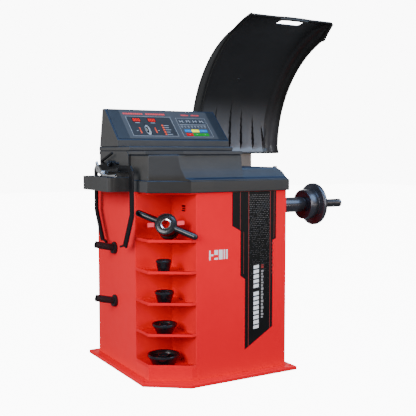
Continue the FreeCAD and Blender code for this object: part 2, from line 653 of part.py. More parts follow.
def console():
    top = "body_top + deck_thick"
    keep(prism("platform_body", "XY_Plane", [
        ("-console_left", "body_back"), ("-console_left", "-platform_front"),
        ("step_x1", "-platform_front"), ("step_x2", "console_front"), ("step_x2", "body_back")],
        "platform_thick", top), "console_base")
    side = [("console_front", "console_floor"), ("console_front", "console_lip"),
            ("console_top_y", "console_top"), ("console_ridge", "console_top"),
            ("console_back", "console_floor")]
    body = prism("console_body", "YZ_Plane", side, "console_left + console_right", "-console_left")
    inner = sketch_on(body, "YZ_Plane", "console_inside", "moulding - console_left")
    polygon(inner, [("console_front + moulding", "console_floor"),
                    ("console_front + moulding", "console_lip - moulding / 2"),
                    ("console_top_y + moulding / 2", "console_top - moulding"),
                    ("console_ridge - moulding / 2", "console_top - moulding"),
                    ("console_back - moulding", "console_floor")])
    pocket(body, inner, "console_left + console_right - 2 * moulding", "console_pocket")
    left_x = -size("console_left")
    right_x = size("console_right")
    round_edges(body, "8", lambda edge: abs(edge.Length - (right_x - left_x)) < 0.1
                and edge.BoundBox.ZMin > size("console_top") - 1, "console_round")
    keep(body, "console_housing")
    rise = size("console_top") - size("console_lip")
    run = size("console_top_y") - size("console_front")
    slope = math.degrees(math.atan2(rise, run))
    face_long = math.hypot(rise, run)
    turn = Rotation(Vector(1, 0, 0), slope)
    slant = "sqrt((console_top - console_lip)^2 + (console_top_y - console_front)^2)"
    facia = box("facia", (0, 0, 0), ("console_left + console_right - 2 * face_margin",
                                     slant + " - 2 * face_margin", "face_thick"))
    along = size("face_margin") / face_long
    place(facia, "-console_left + face_margin",
          "console_front + %.5f * (console_top_y - console_front)" % along,
          "console_lip + %.5f * (console_top - console_lip)" % along, turn)
    keep(facia, "control_panel")
    board = box("board", (0, 0, 0), ("console_left + console_right - 160", slant + " - 70",
                                     "board_thick"))
    sunk = turn.multVec(Vector(0, 35, -size("board_gap") - size("board_thick")))
    place(board, "-console_left + 80", "console_front + %.3f" % sunk.y, "console_lip + %.3f" % sunk.z, turn)
    studs = []
    for i, x in enumerate(("-console_left + 100", "console_right - 120")):
        for j, up in enumerate((45, face_long - 50)):
            stud = doc.addObject("Part::Cylinder", "board_stud_%d%d" % (i, j))
            stud.Radius = 4
            bind(stud, "Height", "board_gap - moulding - 0.3")
            root = turn.multVec(Vector(0, up, -size("board_gap")))
            place(stud, x, "console_front + %.3f" % root.y, "console_lip + %.3f" % root.z, turn)
            studs.append(stud)
    keep(fuse("board_whole", board, *studs), "control_board")


def side_wing():
    body = prism("wing_body", "XY_Plane", [
        ("-wing_left", "wing_back"), ("-wing_left", "-wing_front"),
        ("-band_half_x", "-wing_front"), ("-band_half_x", "wing_back")],
        "wing_top - wing_low", "wing_low")
    left, front = size("wing_left"), size("wing_front")
    round_edges(body, "wing_round", lambda edge: edge.BoundBox.XMax < -left + 0.1
                and edge.BoundBox.ZLength > 20, "wing_corner")
    for tag, start, margin, deep, up in (("recess", "wing_top", "6", "wing_recess", False),
                                         ("under", "wing_low", "4", "wing_top - wing_low - wing_recess - 4",
                                          True)):
        hollow = sketch_on(body, "XY_Plane", "wing_" + tag, start)
        bend = "(wing_round * 0.6)"
        polygon(hollow, [
            ("-wing_left + %s" % margin, "wing_back - %s - %s" % (margin, bend)),
            ("-wing_left + %s" % margin, "-wing_front + %s + %s" % (margin, bend)),
            ("-wing_left + %s + %s" % (margin, bend), "-wing_front + %s" % margin),
            ("-band_half_x - %s" % margin, "-wing_front + %s" % margin),
            ("-band_half_x - %s" % margin, "wing_back - %s" % margin),
            ("-wing_left + %s + %s" % (margin, bend), "wing_back - %s" % margin)])
        pocket(body, hollow, deep, "wing_%s_pocket" % tag, reverse=up)
    keep(body, "side_tool_tray")
    cheek = prism("cheek_body", "YZ_Plane", [
        ("-cheek_front", "cheek_low"), ("body_back - 10", "cheek_low"),
        ("body_back - 10", "body_top + deck_thick"), ("-cheek_front", "body_top + deck_thick")],
        "console_left - body_left", "-console_left")
    round_edges(cheek, "cheek_round", lambda edge: edge.BoundBox.YMax < -size("cheek_front") + 0.1
                and edge.BoundBox.XLength > 5 and edge.BoundBox.ZLength < 0.1, "cheek_corner")
    pin = rod("hook_pin", "hook_pin_radius", "45", ("-console_left", "caliper_y", "caliper_z"), "-x")
    deck_notch = box("deck_notch", ("-band_half_x", "-cheek_front - 1", "body_top"),
                     ("20", "body_back + cheek_front", "deck_thick"))
    keep(fuse("cheek_whole", cut("cheek_trimmed", cheek, deck_notch), pin), "caliper_hanger")


# ---------------------------------------------------------------- wheel guard

def wheel_guard():
    body = new_body("guard_body")
    profile = sketch_on(body, "XZ_Plane", "guard_profile")
    polygon(profile, [
        ("guard_x0", "guard_radius - guard_wall"),
        ("guard_x1 - guard_wall", "guard_radius - guard_wall"),
        ("guard_x1 - guard_wall", "guard_radius - guard_turn"),
        ("guard_x1", "guard_radius - guard_turn"), ("guard_x1", "guard_radius"),
        ("guard_x0", "guard_radius")])
    sweep = body.newObject("PartDesign::Revolution", "guard_sweep")
    sweep.Profile = profile
    sweep.ReferenceAxis = (profile, ["H_Axis"])
    bind(sweep, "Angle", "guard_sweep + guard_dip")
    far_x, radius, wall = size("guard_x1"), size("guard_radius"), size("guard_wall")
    round_edges(body, "guard_turn - 12", lambda edge: abs(edge.BoundBox.XMin - far_x) < 0.1
                and abs(edge.BoundBox.XMax - far_x) < 0.1 and edge.Length > 500
                and abs(edge.Curve.Radius - radius) < 0.1, "guard_outer_round")
    round_edges(body, "guard_turn - 12 - guard_wall", lambda edge: edge.Length > 500
                and abs(edge.BoundBox.XMin - far_x + wall) < 0.1
                and abs(edge.BoundBox.XMax - far_x + wall) < 0.1
                and abs(edge.Curve.Radius - radius + wall) < 0.1, "guard_inner_round")
    place(body, 0, "guard_y", "guard_z", Rotation(Vector(1, 0, 0), -90 - size("guard_dip")))
    slot = shaped("guard_slot", grip_slot_shape())
    slant = shaped("guard_slant", turn_end_shape())
    keep(fuse("guard_whole", cut("guard_cut", body, slot, slant), left_flange()), "wheel_guard")
    tube = rod("pivot_tube", "pivot_radius", "pivot_x1 - pivot_x0", ("pivot_x0", "pivot_y", "pivot_z"), "x")
    arm = box("guard_arm_bar", ("arm_x0", "guard_y + guard_radius", "pivot_z"),
              ("arm_x1 - arm_x0", "arm_thick", "guard_z - pivot_z"))
    plate = box("guard_arm_pad", ("arm_x0", "guard_y + guard_radius - 40", "guard_z"),
                ("arm_x1 - arm_x0", "80", "arm_top - guard_z"))
    shell = rod("guard_arm_trim", "guard_radius", "arm_x1 - arm_x0 + 20",
                ("arm_x0 - 10", "guard_y", "guard_z"), "x")
    outer = rod("guard_arm_limit", "guard_radius + arm_thick", "arm_x1 - arm_x0 + 20",
                ("arm_x0 - 10", "guard_y", "guard_z"), "x")
    curved = doc.addObject("Part::Common", "guard_arm_curved")
    curved.Base = plate
    curved.Tool = cut("guard_arm_ring", outer, shell)
    keep(fuse("guard_arm_whole", tube, arm, curved), "guard_arm")
    bolts = []
    for i, x in enumerate(("arm_x0 + 18", "arm_x1 - 18")):
        for j, angle in enumerate((4, 9)):
            bolt = doc.addObject("Part::Cylinder", "guard_bolt_%d%d" % (i, j))
            bolt.Radius = 7
            bolt.Height = 5
            reach = size("guard_radius") + size("arm_thick")
            y = size("guard_y") + reach * math.cos(math.radians(angle))
            z = size("guard_z") + reach * math.sin(math.radians(angle))
            place(bolt, x, "%.3f" % y, "%.3f" % z, Rotation(Vector(1, 0, 0), angle - 90))
            bolts.append(bolt)
    keep(compound("guard_bolts_all", *bolts), "guard_bolts")
    brackets = []
    for i, x in enumerate(("bracket_low_x", "bracket_high_x")):
        block = box("bracket_block_%d" % i, (x, "cab_half_y", "pivot_z - bracket_tall / 2"),
                    ("bracket_wide", "pivot_y + 30 - cab_half_y", "bracket_tall - 6"))
        bore = rod("bracket_bore_%d" % i, "pivot_radius + run_fit", "bracket_wide + 20",
                   (x + " - 10", "pivot_y", "pivot_z"), "x")
        brackets.append(cut("bracket_%d" % i, block, bore))
    keep(compound("bracket_pair", *brackets), "guard_hinge_brackets")


def left_flange():
    """The crescent-shaped wall that stands out from the shell's left edge."""
    disc = rod("flange_disc", "flange_radius", "guard_wall", ("guard_x0", "flange_y", "flange_z"), "x")
    hollow = rod("flange_hollow", "guard_radius - guard_wall", "guard_wall + 20",
                 ("guard_x0 - 10", "guard_y", "guard_z"), "x")
    below = box("flange_below", ("guard_x0 - 10", "-1000", "0"), ("guard_wall + 20", "2000", "guard_z"))
    behind = box("flange_behind", ("guard_x0 - 10", "flange_back", "0"), ("guard_wall + 20", "500", "2000"))
    return cut("flange_cut", disc, hollow, below, behind)


def turn_end_shape():
    """A cutter that slants the free end of the right side's inward turn."""
    radius, turn = size("guard_radius"), size("guard_turn")
    high = size("guard_sweep") + 0.5
    low = high - size("turn_slant")
    corners = [Vector(size("guard_x1") - 2 * size("guard_wall"), size("guard_y") + r * math.cos(math.radians(a)),
                      size("guard_z") + r * math.sin(math.radians(a)))
               for r, a in ((radius - 12, high), (radius - turn, low), (radius - turn - 30, low),
                            (radius - turn - 30, high + 10), (radius - 12, high + 10))]
    face = Part.Face(Part.makePolygon(corners + corners[:1]))
    return face.extrude(Vector(4 * size("guard_wall"), 0, 0))


def grip_slot_shape():
    """A curved cutter for the hand slot near the guard's free edge."""
    radius = size("guard_radius")
    y, z = size("guard_y"), size("guard_z")
    middle = (size("guard_x0") + size("guard_x1")) / 2
    low, high = (math.radians(size(name)) for name in ("slot_angle0", "slot_angle1"))
    corners = [Vector(middle - size("slot_long") / 2, y + r * math.cos(a), z + r * math.sin(a))
               for r, a in ((radius - 30, low), (radius + 30, low), (radius + 30, high), (radius - 30, high))]
    face = Part.Face(Part.makePolygon(corners + corners[:1]))
    return face.extrude(Vector(size("slot_long"), 0, 0))


# ---------------------------------------------------------------- distance gauge

def distance_gauge():
    bar = rod("gauge_bar", "gauge_radius", "gauge_nose - gauge_tail", ("gauge_tail", "gauge_y", "gauge_z"), "x")
    head = box("gauge_tip", ("gauge_nose", "gauge_y - 8", "gauge_head_low"),
               ("gauge_head_thick", "16", "gauge_head_top - gauge_head_low"))
    keep(fuse("gauge_whole", bar, head), "distance_gauge")


# ---------------------------------------------------------------- loose tools

def strip(points, width):
    """A flat bar's outline along a bent centre line, with mitred corners."""
    left, right = [], []
    for i, point in enumerate(points):
        before = (point - points[i - 1]).normalize() if i else None
        after = (points[i + 1] - point).normalize() if i < len(points) - 1 else None
        along = (before or after) + (after or before)
        along.normalize()
        normal = Vector(0, -along.z, along.y)
        square = Vector(0, -(after or before).z, (after or before).y)
        reach = width / 2 / normal.dot(square)
        left.append(point + normal * reach)
        right.append(point - normal * reach)
    outline = left + right[::-1]
    return Part.Face(Part.makePolygon(outline + outline[:1]))


def caliper_arm(side):
    """One bent bar of the rim caliper, in the YZ plane; side is 1 or -1."""
    y, z = size("caliper_y"), size("caliper_z")
    reach, tip = size("caliper_reach"), size("caliper_tip_reach")
    width = size("caliper_bar")
    shoulder, tip_z = size("caliper_shoulder_z"), size("caliper_tip_z")
    rows = [(-8, z - 2), (0.22 * reach, shoulder), (0.93 * reach, shoulder), (reach, shoulder - 14),
            (reach, size("caliper_knee_z")), (tip, tip_z)]
    foot_rows = [(tip + 6, tip_z + 6), (tip - size("caliper_foot"), tip_z - 6)]
    bar, foot = [strip([Vector(0, y + side * dy, height) for dy, height in line], wide)
                 for line, wide in ((rows, width), (foot_rows, size("caliper_foot_bar")))]
    return [bar, foot]


def rim_caliper():
    thick = size("caliper_thick")
    x, y, z = size("caliper_x"), size("caliper_y"), size("caliper_z")
    boss = size("knob_radius")
    eyelet = size("eyelet_radius")
    arms = []
    for side, start in ((1, x - thick), (-1, x - 2 * thick - 0.3)):
        bars = [face.extrude(Vector(thick, 0, 0)) for face in caliper_arm(side)]
        if side > 0:
            stay = [Vector(0, y + dy, z + dz) for dy, dz in ((15, 46), (138, 8), (60, -18))]
            bars.append(strip(stay, 8).extrude(Vector(thick, 0, 0)))
        for bar in bars:
            bar.translate(Vector(start, 0, 0))
        ring = Part.makeCylinder(boss, thick, Vector(start, y, z), Vector(1, 0, 0))
        hole = Part.makeCylinder(eyelet, thick + 2, Vector(start - 1, y, z), Vector(1, 0, 0))
        arms.append(ring.multiFuse(bars).cut(hole).removeSplitter())
    sleeve_start = x - 2 * thick - 4
    sleeve = Part.makeCylinder(eyelet - 0.05, thick * 2 + 6, Vector(sleeve_start, y, z), Vector(1, 0, 0))
    knob = Part.makeCylinder(boss, 9, Vector(sleeve_start - 8, y, z), Vector(1, 0, 0))
    pin = Part.makeCylinder(size("hook_pin_radius") + 0.4, 60, Vector(sleeve_start - 20, y, z), Vector(1, 0, 0))
    keep(shaped("caliper_rear", arms[0]), "caliper_rear_arm")
    keep(shaped("caliper_front", arms[1]), "caliper_front_arm")
    keep(shaped("caliper_eyelet", sleeve.fuse(knob).cut(pin).removeSplitter()), "caliper_knob")


def weight_pliers():
    """Wheel-weight pliers on edge on the wing: two crossed levers on one rivet."""
    x, thick = size("pliers_x"), size("pliers_thick")
    y, z = size("pliers_y"), size("pliers_z")
    rivet = size("pliers_rivet")

    def lever(start, rows, head_rows):
        handle = strip([Vector(start, y + dy, z + dz) for dy, dz in rows], 11)
        head = Part.Face(Part.makePolygon([Vector(start, y + dy, z + dz)
                                           for dy, dz in head_rows + head_rows[:1]]))
        boss = Part.makeCylinder(11, thick, Vector(start, y, z), Vector(1, 0, 0))
        whole = handle.extrude(Vector(thick, 0, 0)).fuse(head.extrude(Vector(thick, 0, 0))).fuse(boss)
        return whole

    low = lever(x, [(-150, -8.5), (-80, -13), (-20, -8), (6, 2)],
                [(0, -8), (34, 16), (58, 24), (66, 46), (52, 50), (42, 33), (20, 22), (0, 8)])
    high = lever(x + thick + 0.3, [(-150, 16), (-80, 12), (-20, 6), (6, 0)],
                 [(0, -10), (30, -9), (74, 4), (92, 24), (84, 30), (66, 16), (30, 6), (0, 8)])
    pin = Part.makeCylinder(rivet, 2 * thick + 4, Vector(x - 1.5, y, z), Vector(1, 0, 0))
    low = low.fuse(pin).removeSplitter()
    hole = Part.makeCylinder(rivet + 0.05, thick + 4, Vector(x + thick - 1, y, z), Vector(1, 0, 0))
    high = high.cut(hole).removeSplitter()
    keep(shaped("pliers_one", low), "pliers_hammer_half")
    keep(shaped("pliers_two", high), "pliers_jaw_half")


def cones():
    for label, (level, x, y, top, bottom, tall) in CONES.items():
        body = new_body(label + "_body")
        profile = sketch_on(body, "XZ_Plane", label + "_profile")
        polygon(profile, [
            ("cone_bore", "0"), (bottom, "0"), (top, "%s - cone_rim" % tall), (top, tall),
            ("%s - cone_wall" % top, tall), ("cone_bore + cone_wall - 3", "%s - cone_cup" % tall),
            ("cone_bore", "%s - cone_cup" % tall)])
        spin = body.newObject("PartDesign::Revolution", label + "_spin")
        spin.Profile = profile
        spin.ReferenceAxis = (profile, ["V_Axis"])
        spin.Angle = 360
        place(body, x, y, "floor_lip_top + %d * shelf_pitch - lip + shelf_sheet" % level)
        keep(body, label)


def quick_nut():
    """The quick-release nut: local Z points out of the rack's cut corner."""
    tilt = math.radians(size("nut_tilt"))
    heading = math.radians(size("nut_heading"))
    outward = Vector(-math.cos(tilt) * math.cos(heading), -math.cos(tilt) * math.sin(heading),
                     math.sin(tilt))
    across = Vector(0, 0, 1).cross(outward).normalize()
    bar_way = Rotation(outward, size("nut_bar_droop")).multVec(across)
    frame = Placement(Vector(size("nut_x"), size("nut_y"), size("nut_z")),
                      Rotation(bar_way, Vector(), outward, "ZXY"))
    ring_r, ring_l, bore = size("nut_ring_radius"), size("nut_ring_long"), size("nut_bore")
    neck_r, neck_l = size("nut_neck_radius"), size("nut_neck_long")
    bar_r, reach = size("nut_bar_radius"), size("nut_bar_long")
    middle = ring_l / 2
    ring = Part.makeCylinder(ring_r, ring_l)
    neck = Part.makeCylinder(neck_r, neck_l, Vector(0, 0, -neck_l))
    bars = [Part.makeCylinder(bar_r, reach - 30, Vector(30 * way, 0, middle), Vector(way, 0, 0))
            for way in (1, -1)]
    tips = [Part.makeSphere(bar_r, Vector(reach * way, 0, middle)) for way in (1, -1)]
    hole = Part.makeCylinder(bore, neck_l + ring_l + 20, Vector(0, 0, -neck_l - 10))
    whole = ring.multiFuse([neck] + bars + tips).cut(hole).removeSplitter()
    cup_r, cup_l, cup_wall = size("nut_cup_radius"), size("nut_cup_long"), size("nut_cup_wall")
    back = Vector(0, 0, -neck_l - cup_l + cup_wall)
    cup = Part.makeCylinder(cup_r, cup_l, back)
    cup = cup.cut(Part.makeCylinder(cup_r - cup_wall, cup_l - cup_wall, back))
    cup = cup.cut(Part.makeCylinder(neck_r, 3 * cup_l, Vector(0, 0, -neck_l)))
    cup = cup.cut(Part.makeCylinder(bore + 4, 3 * cup_l, back)).removeSplitter()
    lever_l, lever_w, lever_t = size("nut_lever_long"), size("nut_lever_wide"), size("nut_lever_thick")
    levers = []
    for way in (-1, 1):
        start = ring_r + 1 if way > 0 else -ring_r - 1 - lever_l
        lever = Part.makeBox(lever_l, lever_w, lever_t, Vector(start, -lever_w / 2, ring_l - lever_t - 1))
        corners = [edge for edge in lever.Edges if edge.BoundBox.ZLength > lever_t - 0.1]
        lever = lever.makeFillet(lever_w / 4, corners)
        lever.rotate(Vector(), Vector(0, 0, 1), size("nut_lever_turn"))
        levers.append(lever)
    for label, shape in (("quick_nut_body", whole), ("quick_nut_cup", cup),
                         ("quick_nut_levers", Part.makeCompound(levers))):
        piece = shaped(label + "_shape", shape)
        piece.Placement = frame
        keep(piece, label)


# ---------------------------------------------------------------- build and export

def check_and_export():
    doc.recompute()
    for obj in doc.Objects:
        if "Invalid" in obj.State or "Error" in obj.State:
            raise RuntimeError("%s is %s" % (obj.Label, obj.State))
    os.makedirs("parts", exist_ok=True)
    for old in os.listdir("parts"):
        os.remove(os.path.join("parts", old))
    for node in nodes:
        shape = node.Shape
        if shape.isNull() or not shape.isValid() or not shape.Solids:
            raise RuntimeError("%s has no valid solid" % node.Label)
    for node in nodes:
        node.Shape.exportStep("parts/%s.step" % node.Label)
    print("%d nodes written" % len(nodes))


fill_sheet()
floor_plate()
cabinet_sheets()
rack()
rear_hatch()
accessory_pegs()
spindle_support()
spindle()
drive()
electrics()
top_cover()
weight_tray()
console()
side_wing()
wheel_guard()
distance_gauge()
rim_caliper()
weight_pliers()
cones()
quick_nut()
check_and_export()
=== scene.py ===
import json
import math
import random

import bmesh
import bpy
from mathutils import Matrix, Vector


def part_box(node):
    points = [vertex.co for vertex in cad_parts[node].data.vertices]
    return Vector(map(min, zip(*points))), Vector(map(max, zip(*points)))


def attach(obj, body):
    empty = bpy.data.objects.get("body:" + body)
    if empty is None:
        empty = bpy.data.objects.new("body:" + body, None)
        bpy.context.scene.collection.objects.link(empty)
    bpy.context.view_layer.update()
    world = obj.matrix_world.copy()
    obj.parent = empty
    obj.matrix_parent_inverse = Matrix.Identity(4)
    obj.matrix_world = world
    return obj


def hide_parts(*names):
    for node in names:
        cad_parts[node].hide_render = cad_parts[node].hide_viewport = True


# The wheel balancer's looks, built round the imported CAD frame. Lengths are written in millimetres
# and turned into metres by MM. +X runs along the spindle, +Y to the back and +Z up.
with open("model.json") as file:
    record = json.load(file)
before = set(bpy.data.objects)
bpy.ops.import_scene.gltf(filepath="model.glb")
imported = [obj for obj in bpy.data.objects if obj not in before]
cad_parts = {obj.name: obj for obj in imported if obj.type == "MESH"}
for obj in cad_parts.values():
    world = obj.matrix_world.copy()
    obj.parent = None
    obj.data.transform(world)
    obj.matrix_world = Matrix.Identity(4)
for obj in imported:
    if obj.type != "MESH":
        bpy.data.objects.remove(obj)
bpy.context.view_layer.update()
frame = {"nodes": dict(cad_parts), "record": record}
random.seed(7)
MM = 0.001


# ---------------------------------------------------------------- materials

NOISE_LOW, NOISE_HIGH = 0.3, 0.7        # where most of a noise texture's values lie


def noise(tree, where, scale, detail=3.0):
    node = tree.nodes.new("ShaderNodeTexNoise")
    node.inputs["Scale"].default_value = scale
    node.inputs["Detail"].default_value = detail
    node.inputs["Roughness"].default_value = 0.55
    tree.links.new(where, node.inputs["Vector"])
    return node.outputs["Fac"]


def ramp(tree, value, start, end, low=0.0, high=1.0, kind="LINEAR"):
    """Carries a value from the range start to end over to low to high, and holds it beyond."""
    node = tree.nodes.new("ShaderNodeMapRange")
    node.interpolation_type = kind
    for name, number in (("From Min", start), ("From Max", end), ("To Min", low), ("To Max", high)):
        node.inputs[name].default_value = number
    tree.links.new(value, node.inputs["Value"])
    return node.outputs["Result"]


def coordinate(tree, vector, axis):
    """One coordinate of a vector."""
    node = tree.nodes.new("ShaderNodeSeparateXYZ")
    tree.links.new(vector, node.inputs["Vector"])
    return node.outputs[axis]


def relief(tree, height, strength, deep, under=None):
    """A bump of a given depth in millimetres, laid over another one."""
    node = tree.nodes.new("ShaderNodeBump")
    node.inputs["Strength"].default_value = strength
    node.inputs["Distance"].default_value = deep * MM
    tree.links.new(height, node.inputs["Height"])
    if under:
        tree.links.new(under, node.inputs["Normal"])
    return node.outputs["Normal"]


def mixed(tree, factor, first, second):
    """Two colours mixed; each is a plain colour or a socket."""
    node = tree.nodes.new("ShaderNodeMix")
    node.data_type = "RGBA"
    tree.links.new(factor, node.inputs["Factor"])
    for name, value in (("A", first), ("B", second)):
        if isinstance(value, bpy.types.NodeSocket):
            tree.links.new(value, node.inputs[name])
        else:
            node.inputs[name].default_value = (*value, 1)
    return node.outputs["Result"]


def finish_of(name, color, rough, metal=0.0, coat=0.0, shade=0.12, grain=900.0, bump=0.06,
              edge_wear_and_highlight=0.0, edge_wear_and_highlight_color=(0.6, 0.6, 0.6), brushed=None, specular=0.5, low=None,
              ribs=None, upward_painted_sheen=None, side=None):
    """A painted, moulded or metal surface: mottled colour, uneven gloss, fine grain, and lighter edges
    that are partly wear and partly a painted highlight. brushed stretches the grain; low is (height from,
    height to, colour at the foot), painted light towards the foot; ribs is a pitch in millimetres along Y;
    the upward and side arguments are (colour, from, to), painted light given to faces whose normal's Z or
    X passes from one value to the other."""
    mat = bpy.data.materials.new(name)
    mat.use_nodes = True
    tree = mat.node_tree
    shader = tree.nodes["Principled BSDF"]
    shader.inputs["Metallic"].default_value = metal
    shader.inputs["Coat Weight"].default_value = coat
    shader.inputs["Coat Roughness"].default_value = 0.12
    shader.inputs["Specular IOR Level"].default_value = specular
    where = tree.nodes.new("ShaderNodeTexCoord").outputs["Object"]

    paint = mixed(tree, ramp(tree, noise(tree, where, 7.0), NOISE_LOW, NOISE_HIGH),
                  [c * (1 - shade) for c in color], [min(1, c * (1 + shade)) for c in color])
    # Painted light at the foot: painted shade where the foot colour is darker, a painted highlight where
    # it is lighter.
    if low:
        from_z, to_z, foot_painted_light_color = low
        climb = ramp(tree, coordinate(tree, where, "Z"), from_z * MM, to_z * MM, kind="SMOOTHSTEP")
        paint = mixed(tree, climb, foot_painted_light_color, paint)
    # Colours by facing: painted light on upward faces and on faces turned to one side.
    for turned, axis in ((side, "X"), (upward_painted_sheen, "Z")):
        if turned:
            facing_painted_color, near, far = turned
            normal = tree.nodes.new("ShaderNodeNewGeometry").outputs["Normal"]
            paint = mixed(tree, ramp(tree, coordinate(tree, normal, axis), near, far), paint, facing_painted_color)
    # Edges lightened by pointiness: partly wear, partly a painted highlight where the edges catch the
    # light.
    if edge_wear_and_highlight:
        edge = tree.nodes.new("ShaderNodeNewGeometry").outputs["Pointiness"]
        paint = mixed(tree, ramp(tree, edge, 0.53, 0.62, high=edge_wear_and_highlight), paint, edge_wear_and_highlight_color)
    tree.links.new(paint, shader.inputs["Base Color"])

    gloss = ramp(tree, noise(tree, where, 23.0, 4.0), NOISE_LOW, NOISE_HIGH,
                 rough * 0.85, min(1, rough * 1.18))
    tree.links.new(gloss, shader.inputs["Roughness"])

    fine_where = where
    if brushed:
        stretch = tree.nodes.new("ShaderNodeMapping")
        stretch.inputs["Scale"].default_value = brushed
        tree.links.new(where, stretch.inputs["Vector"])
        fine_where = stretch.outputs["Vector"]
    surface = relief(tree, noise(tree, fine_where, grain, 2.0), bump, 0.6)
    if ribs:
        wave = tree.nodes.new("ShaderNodeTexWave")
        wave.bands_direction = "Y"
        wave.inputs["Scale"].default_value = math.tau / (20 * ribs * MM)
        tree.links.new(where, wave.inputs["Vector"])
        surface = relief(tree, wave.outputs["Fac"], 0.8, 0.8, surface)
    tree.links.new(surface, shader.inputs["Normal"])
    return mat


def glowing(name, color, power, grain=900.0):
    """A colour that gives off light of its own: lit digits and lamps, and on printed keys a painted glow.
    """
    mat = finish_of(name, color, 0.4, shade=0.05, grain=grain, specular=0.08)
    shader = mat.node_tree.nodes["Principled BSDF"]
    shader.inputs["Emission Color"].default_value = (*color, 1)
    shader.inputs["Emission Strength"].default_value = power
    return mat


# Some colours have painted studio light: painted shade on a red that deepens to the floor, a painted
# highlight on faces that face left, a painted blue reflection on the mouldings' tops, painted shade on
# their lower band, a painted highlight at the hood's foot and rim, and edges partly worn, partly painted
# highlight.

# Red: painted shade deepening towards the floor, and a painted highlight on left-facing faces.
RED = finish_of("red_powder_coat", (0.97, 0.0, 0.016), 0.42, shade=0.04, grain=700, bump=0.05,
                specular=0.03, low=(60, 520, (0.84, 0.0, 0.014)),
                side=((1.0, 0.022, 0.032), -0.7, -0.95))
# Rack red: edges lightened to a brighter red, partly wear and partly a painted highlight.
RED_RACK = finish_of("red_powder_coat_rack", (0.84, 0.0, 0.014), 0.34, shade=0.05,
                     grain=700, bump=0.05, specular=0.06, edge_wear_and_highlight=0.5, edge_wear_and_highlight_color=(0.98, 0.04, 0.03))
# Moulding: warm painted shade on the band below the step, a painted blue reflection on upward faces, and a
# painted highlight on left-facing faces and on edges.
SLATE = finish_of("slate_moulding", (0.034, 0.033, 0.033), 0.40, shade=0.10, grain=1400, bump=0.10,
                  specular=0.22, edge_wear_and_highlight=0.35, edge_wear_and_highlight_color=(0.07, 0.09, 0.12),
                  low=(846, 870, (0.026, 0.0225, 0.019)), upward_painted_sheen=((0.011, 0.020, 0.038), 0.12, 0.42),
                  side=((0.070, 0.067, 0.063), -0.75, -0.95))
SLATE_DARK = finish_of("slate_moulding_dark", (0.017, 0.021, 0.027), 0.38, shade=0.10, grain=1400,
                       bump=0.08, specular=0.28)
# The ribs are moulded; the paler colour of these left-facing faces is a painted highlight.
RIBBED = finish_of("slate_moulding_ribbed", (0.060, 0.058, 0.055), 0.45, shade=0.10, grain=1400,
                   bump=0.10, specular=0.3, ribs=7)
FILM = finish_of("panel_film", (0.048, 0.050, 0.054), 0.42, shade=0.04, grain=2200, bump=0.04,
                 specular=0.25)
SCREEN = finish_of("panel_screen", (0.022, 0.024, 0.028), 0.32, shade=0.06, grain=2200, bump=0.03,
                   specular=0.25)
PRINT = finish_of("panel_print", (0.30, 0.31, 0.33), 0.5, shade=0.04, grain=1800, bump=0.03)
RED_PRINT = finish_of("panel_print_red", (0.70, 0.03, 0.03), 0.5, shade=0.04, grain=1800, bump=0.03)
# Hood: a painted highlight that brightens it towards the foot.
HOOD = finish_of("hood_plastic", (0.0125, 0.0122, 0.0120), 0.33, shade=0.15, grain=260, bump=0.05,
                 specular=0.32, edge_wear_and_highlight=0.3, edge_wear_and_highlight_color=(0.030, 0.030, 0.033),
                 low=(985, 1240, (0.050, 0.050, 0.054)))
# Pleated stretch: a painted bluish reflection towards the foot and painted shade on the flanks facing
# left.
HOOD_PLEATED = finish_of("hood_plastic_pleated", (0.0125, 0.0122, 0.0120), 0.33, shade=0.15,
                         grain=260, bump=0.05, specular=0.32, edge_wear_and_highlight=0.3,
                         edge_wear_and_highlight_color=(0.030, 0.030, 0.033), low=(930, 1250, (0.205, 0.215, 0.238)),
                         side=((0.012, 0.012, 0.012), -0.06, -0.35))
# Paler copy of the hood plastic for its rim and left edge: a painted highlight.
HOOD_EDGE_PAINTED_HIGHLIGHT = finish_of("hood_edge_painted_highlight", (0.022, 0.021, 0.019), 0.40, shade=0.15, grain=260, bump=0.05,
                      specular=0.30)
BLACK = finish_of("black_enamel", (0.005, 0.005, 0.0065), 0.25, coat=0.2, shade=0.15, grain=500,
                  bump=0.05, specular=0.35, edge_wear_and_highlight=0.25, edge_wear_and_highlight_color=(0.04, 0.045, 0.06))
BLACK_ROD = finish_of("black_rod", (0.005, 0.005, 0.006), 0.38, shade=0.15, grain=500, bump=0.06,
                      specular=0.16, edge_wear_and_highlight=0.25, edge_wear_and_highlight_color=(0.04, 0.04, 0.05))
HUB = finish_of("blued_hub", (0.060, 0.058, 0.066), 0.27, metal=0.7, shade=0.15, grain=420, bump=0.05,
                specular=0.4, edge_wear_and_highlight=0.35, edge_wear_and_highlight_color=(0.22, 0.24, 0.28))
INK = finish_of("decal_black", (0.003, 0.003, 0.003), 0.42, shade=0.1, grain=1600, bump=0.03,
                specular=0.12)
INK_WHITE = finish_of("decal_white", (0.88, 0.88, 0.88), 0.45, shade=0.02, grain=1600, bump=0.03)
INK_GREY = finish_of("decal_grey", (0.30, 0.29, 0.29), 0.45, shade=0.04, grain=1600, bump=0.03)
INK_RED = finish_of("decal_red", (0.30, 0.008, 0.008), 0.45, shade=0.05, grain=1600, bump=0.03)
OILED = finish_of("blackened_steel", (0.055, 0.050, 0.052), 0.24, metal=0.8, shade=0.2, grain=420,
                  bump=0.06, edge_wear_and_highlight=0.4, edge_wear_and_highlight_color=(0.30, 0.29, 0.29))
STEEL = finish_of("ground_steel", (0.52, 0.52, 0.54), 0.26, metal=1.0, shade=0.12, grain=500,
                  bump=0.08, brushed=(1, 0.08, 0.08))
CHROME = finish_of("chrome_plate", (0.80, 0.82, 0.85), 0.10, metal=1.0, shade=0.08, grain=300, bump=0.04)
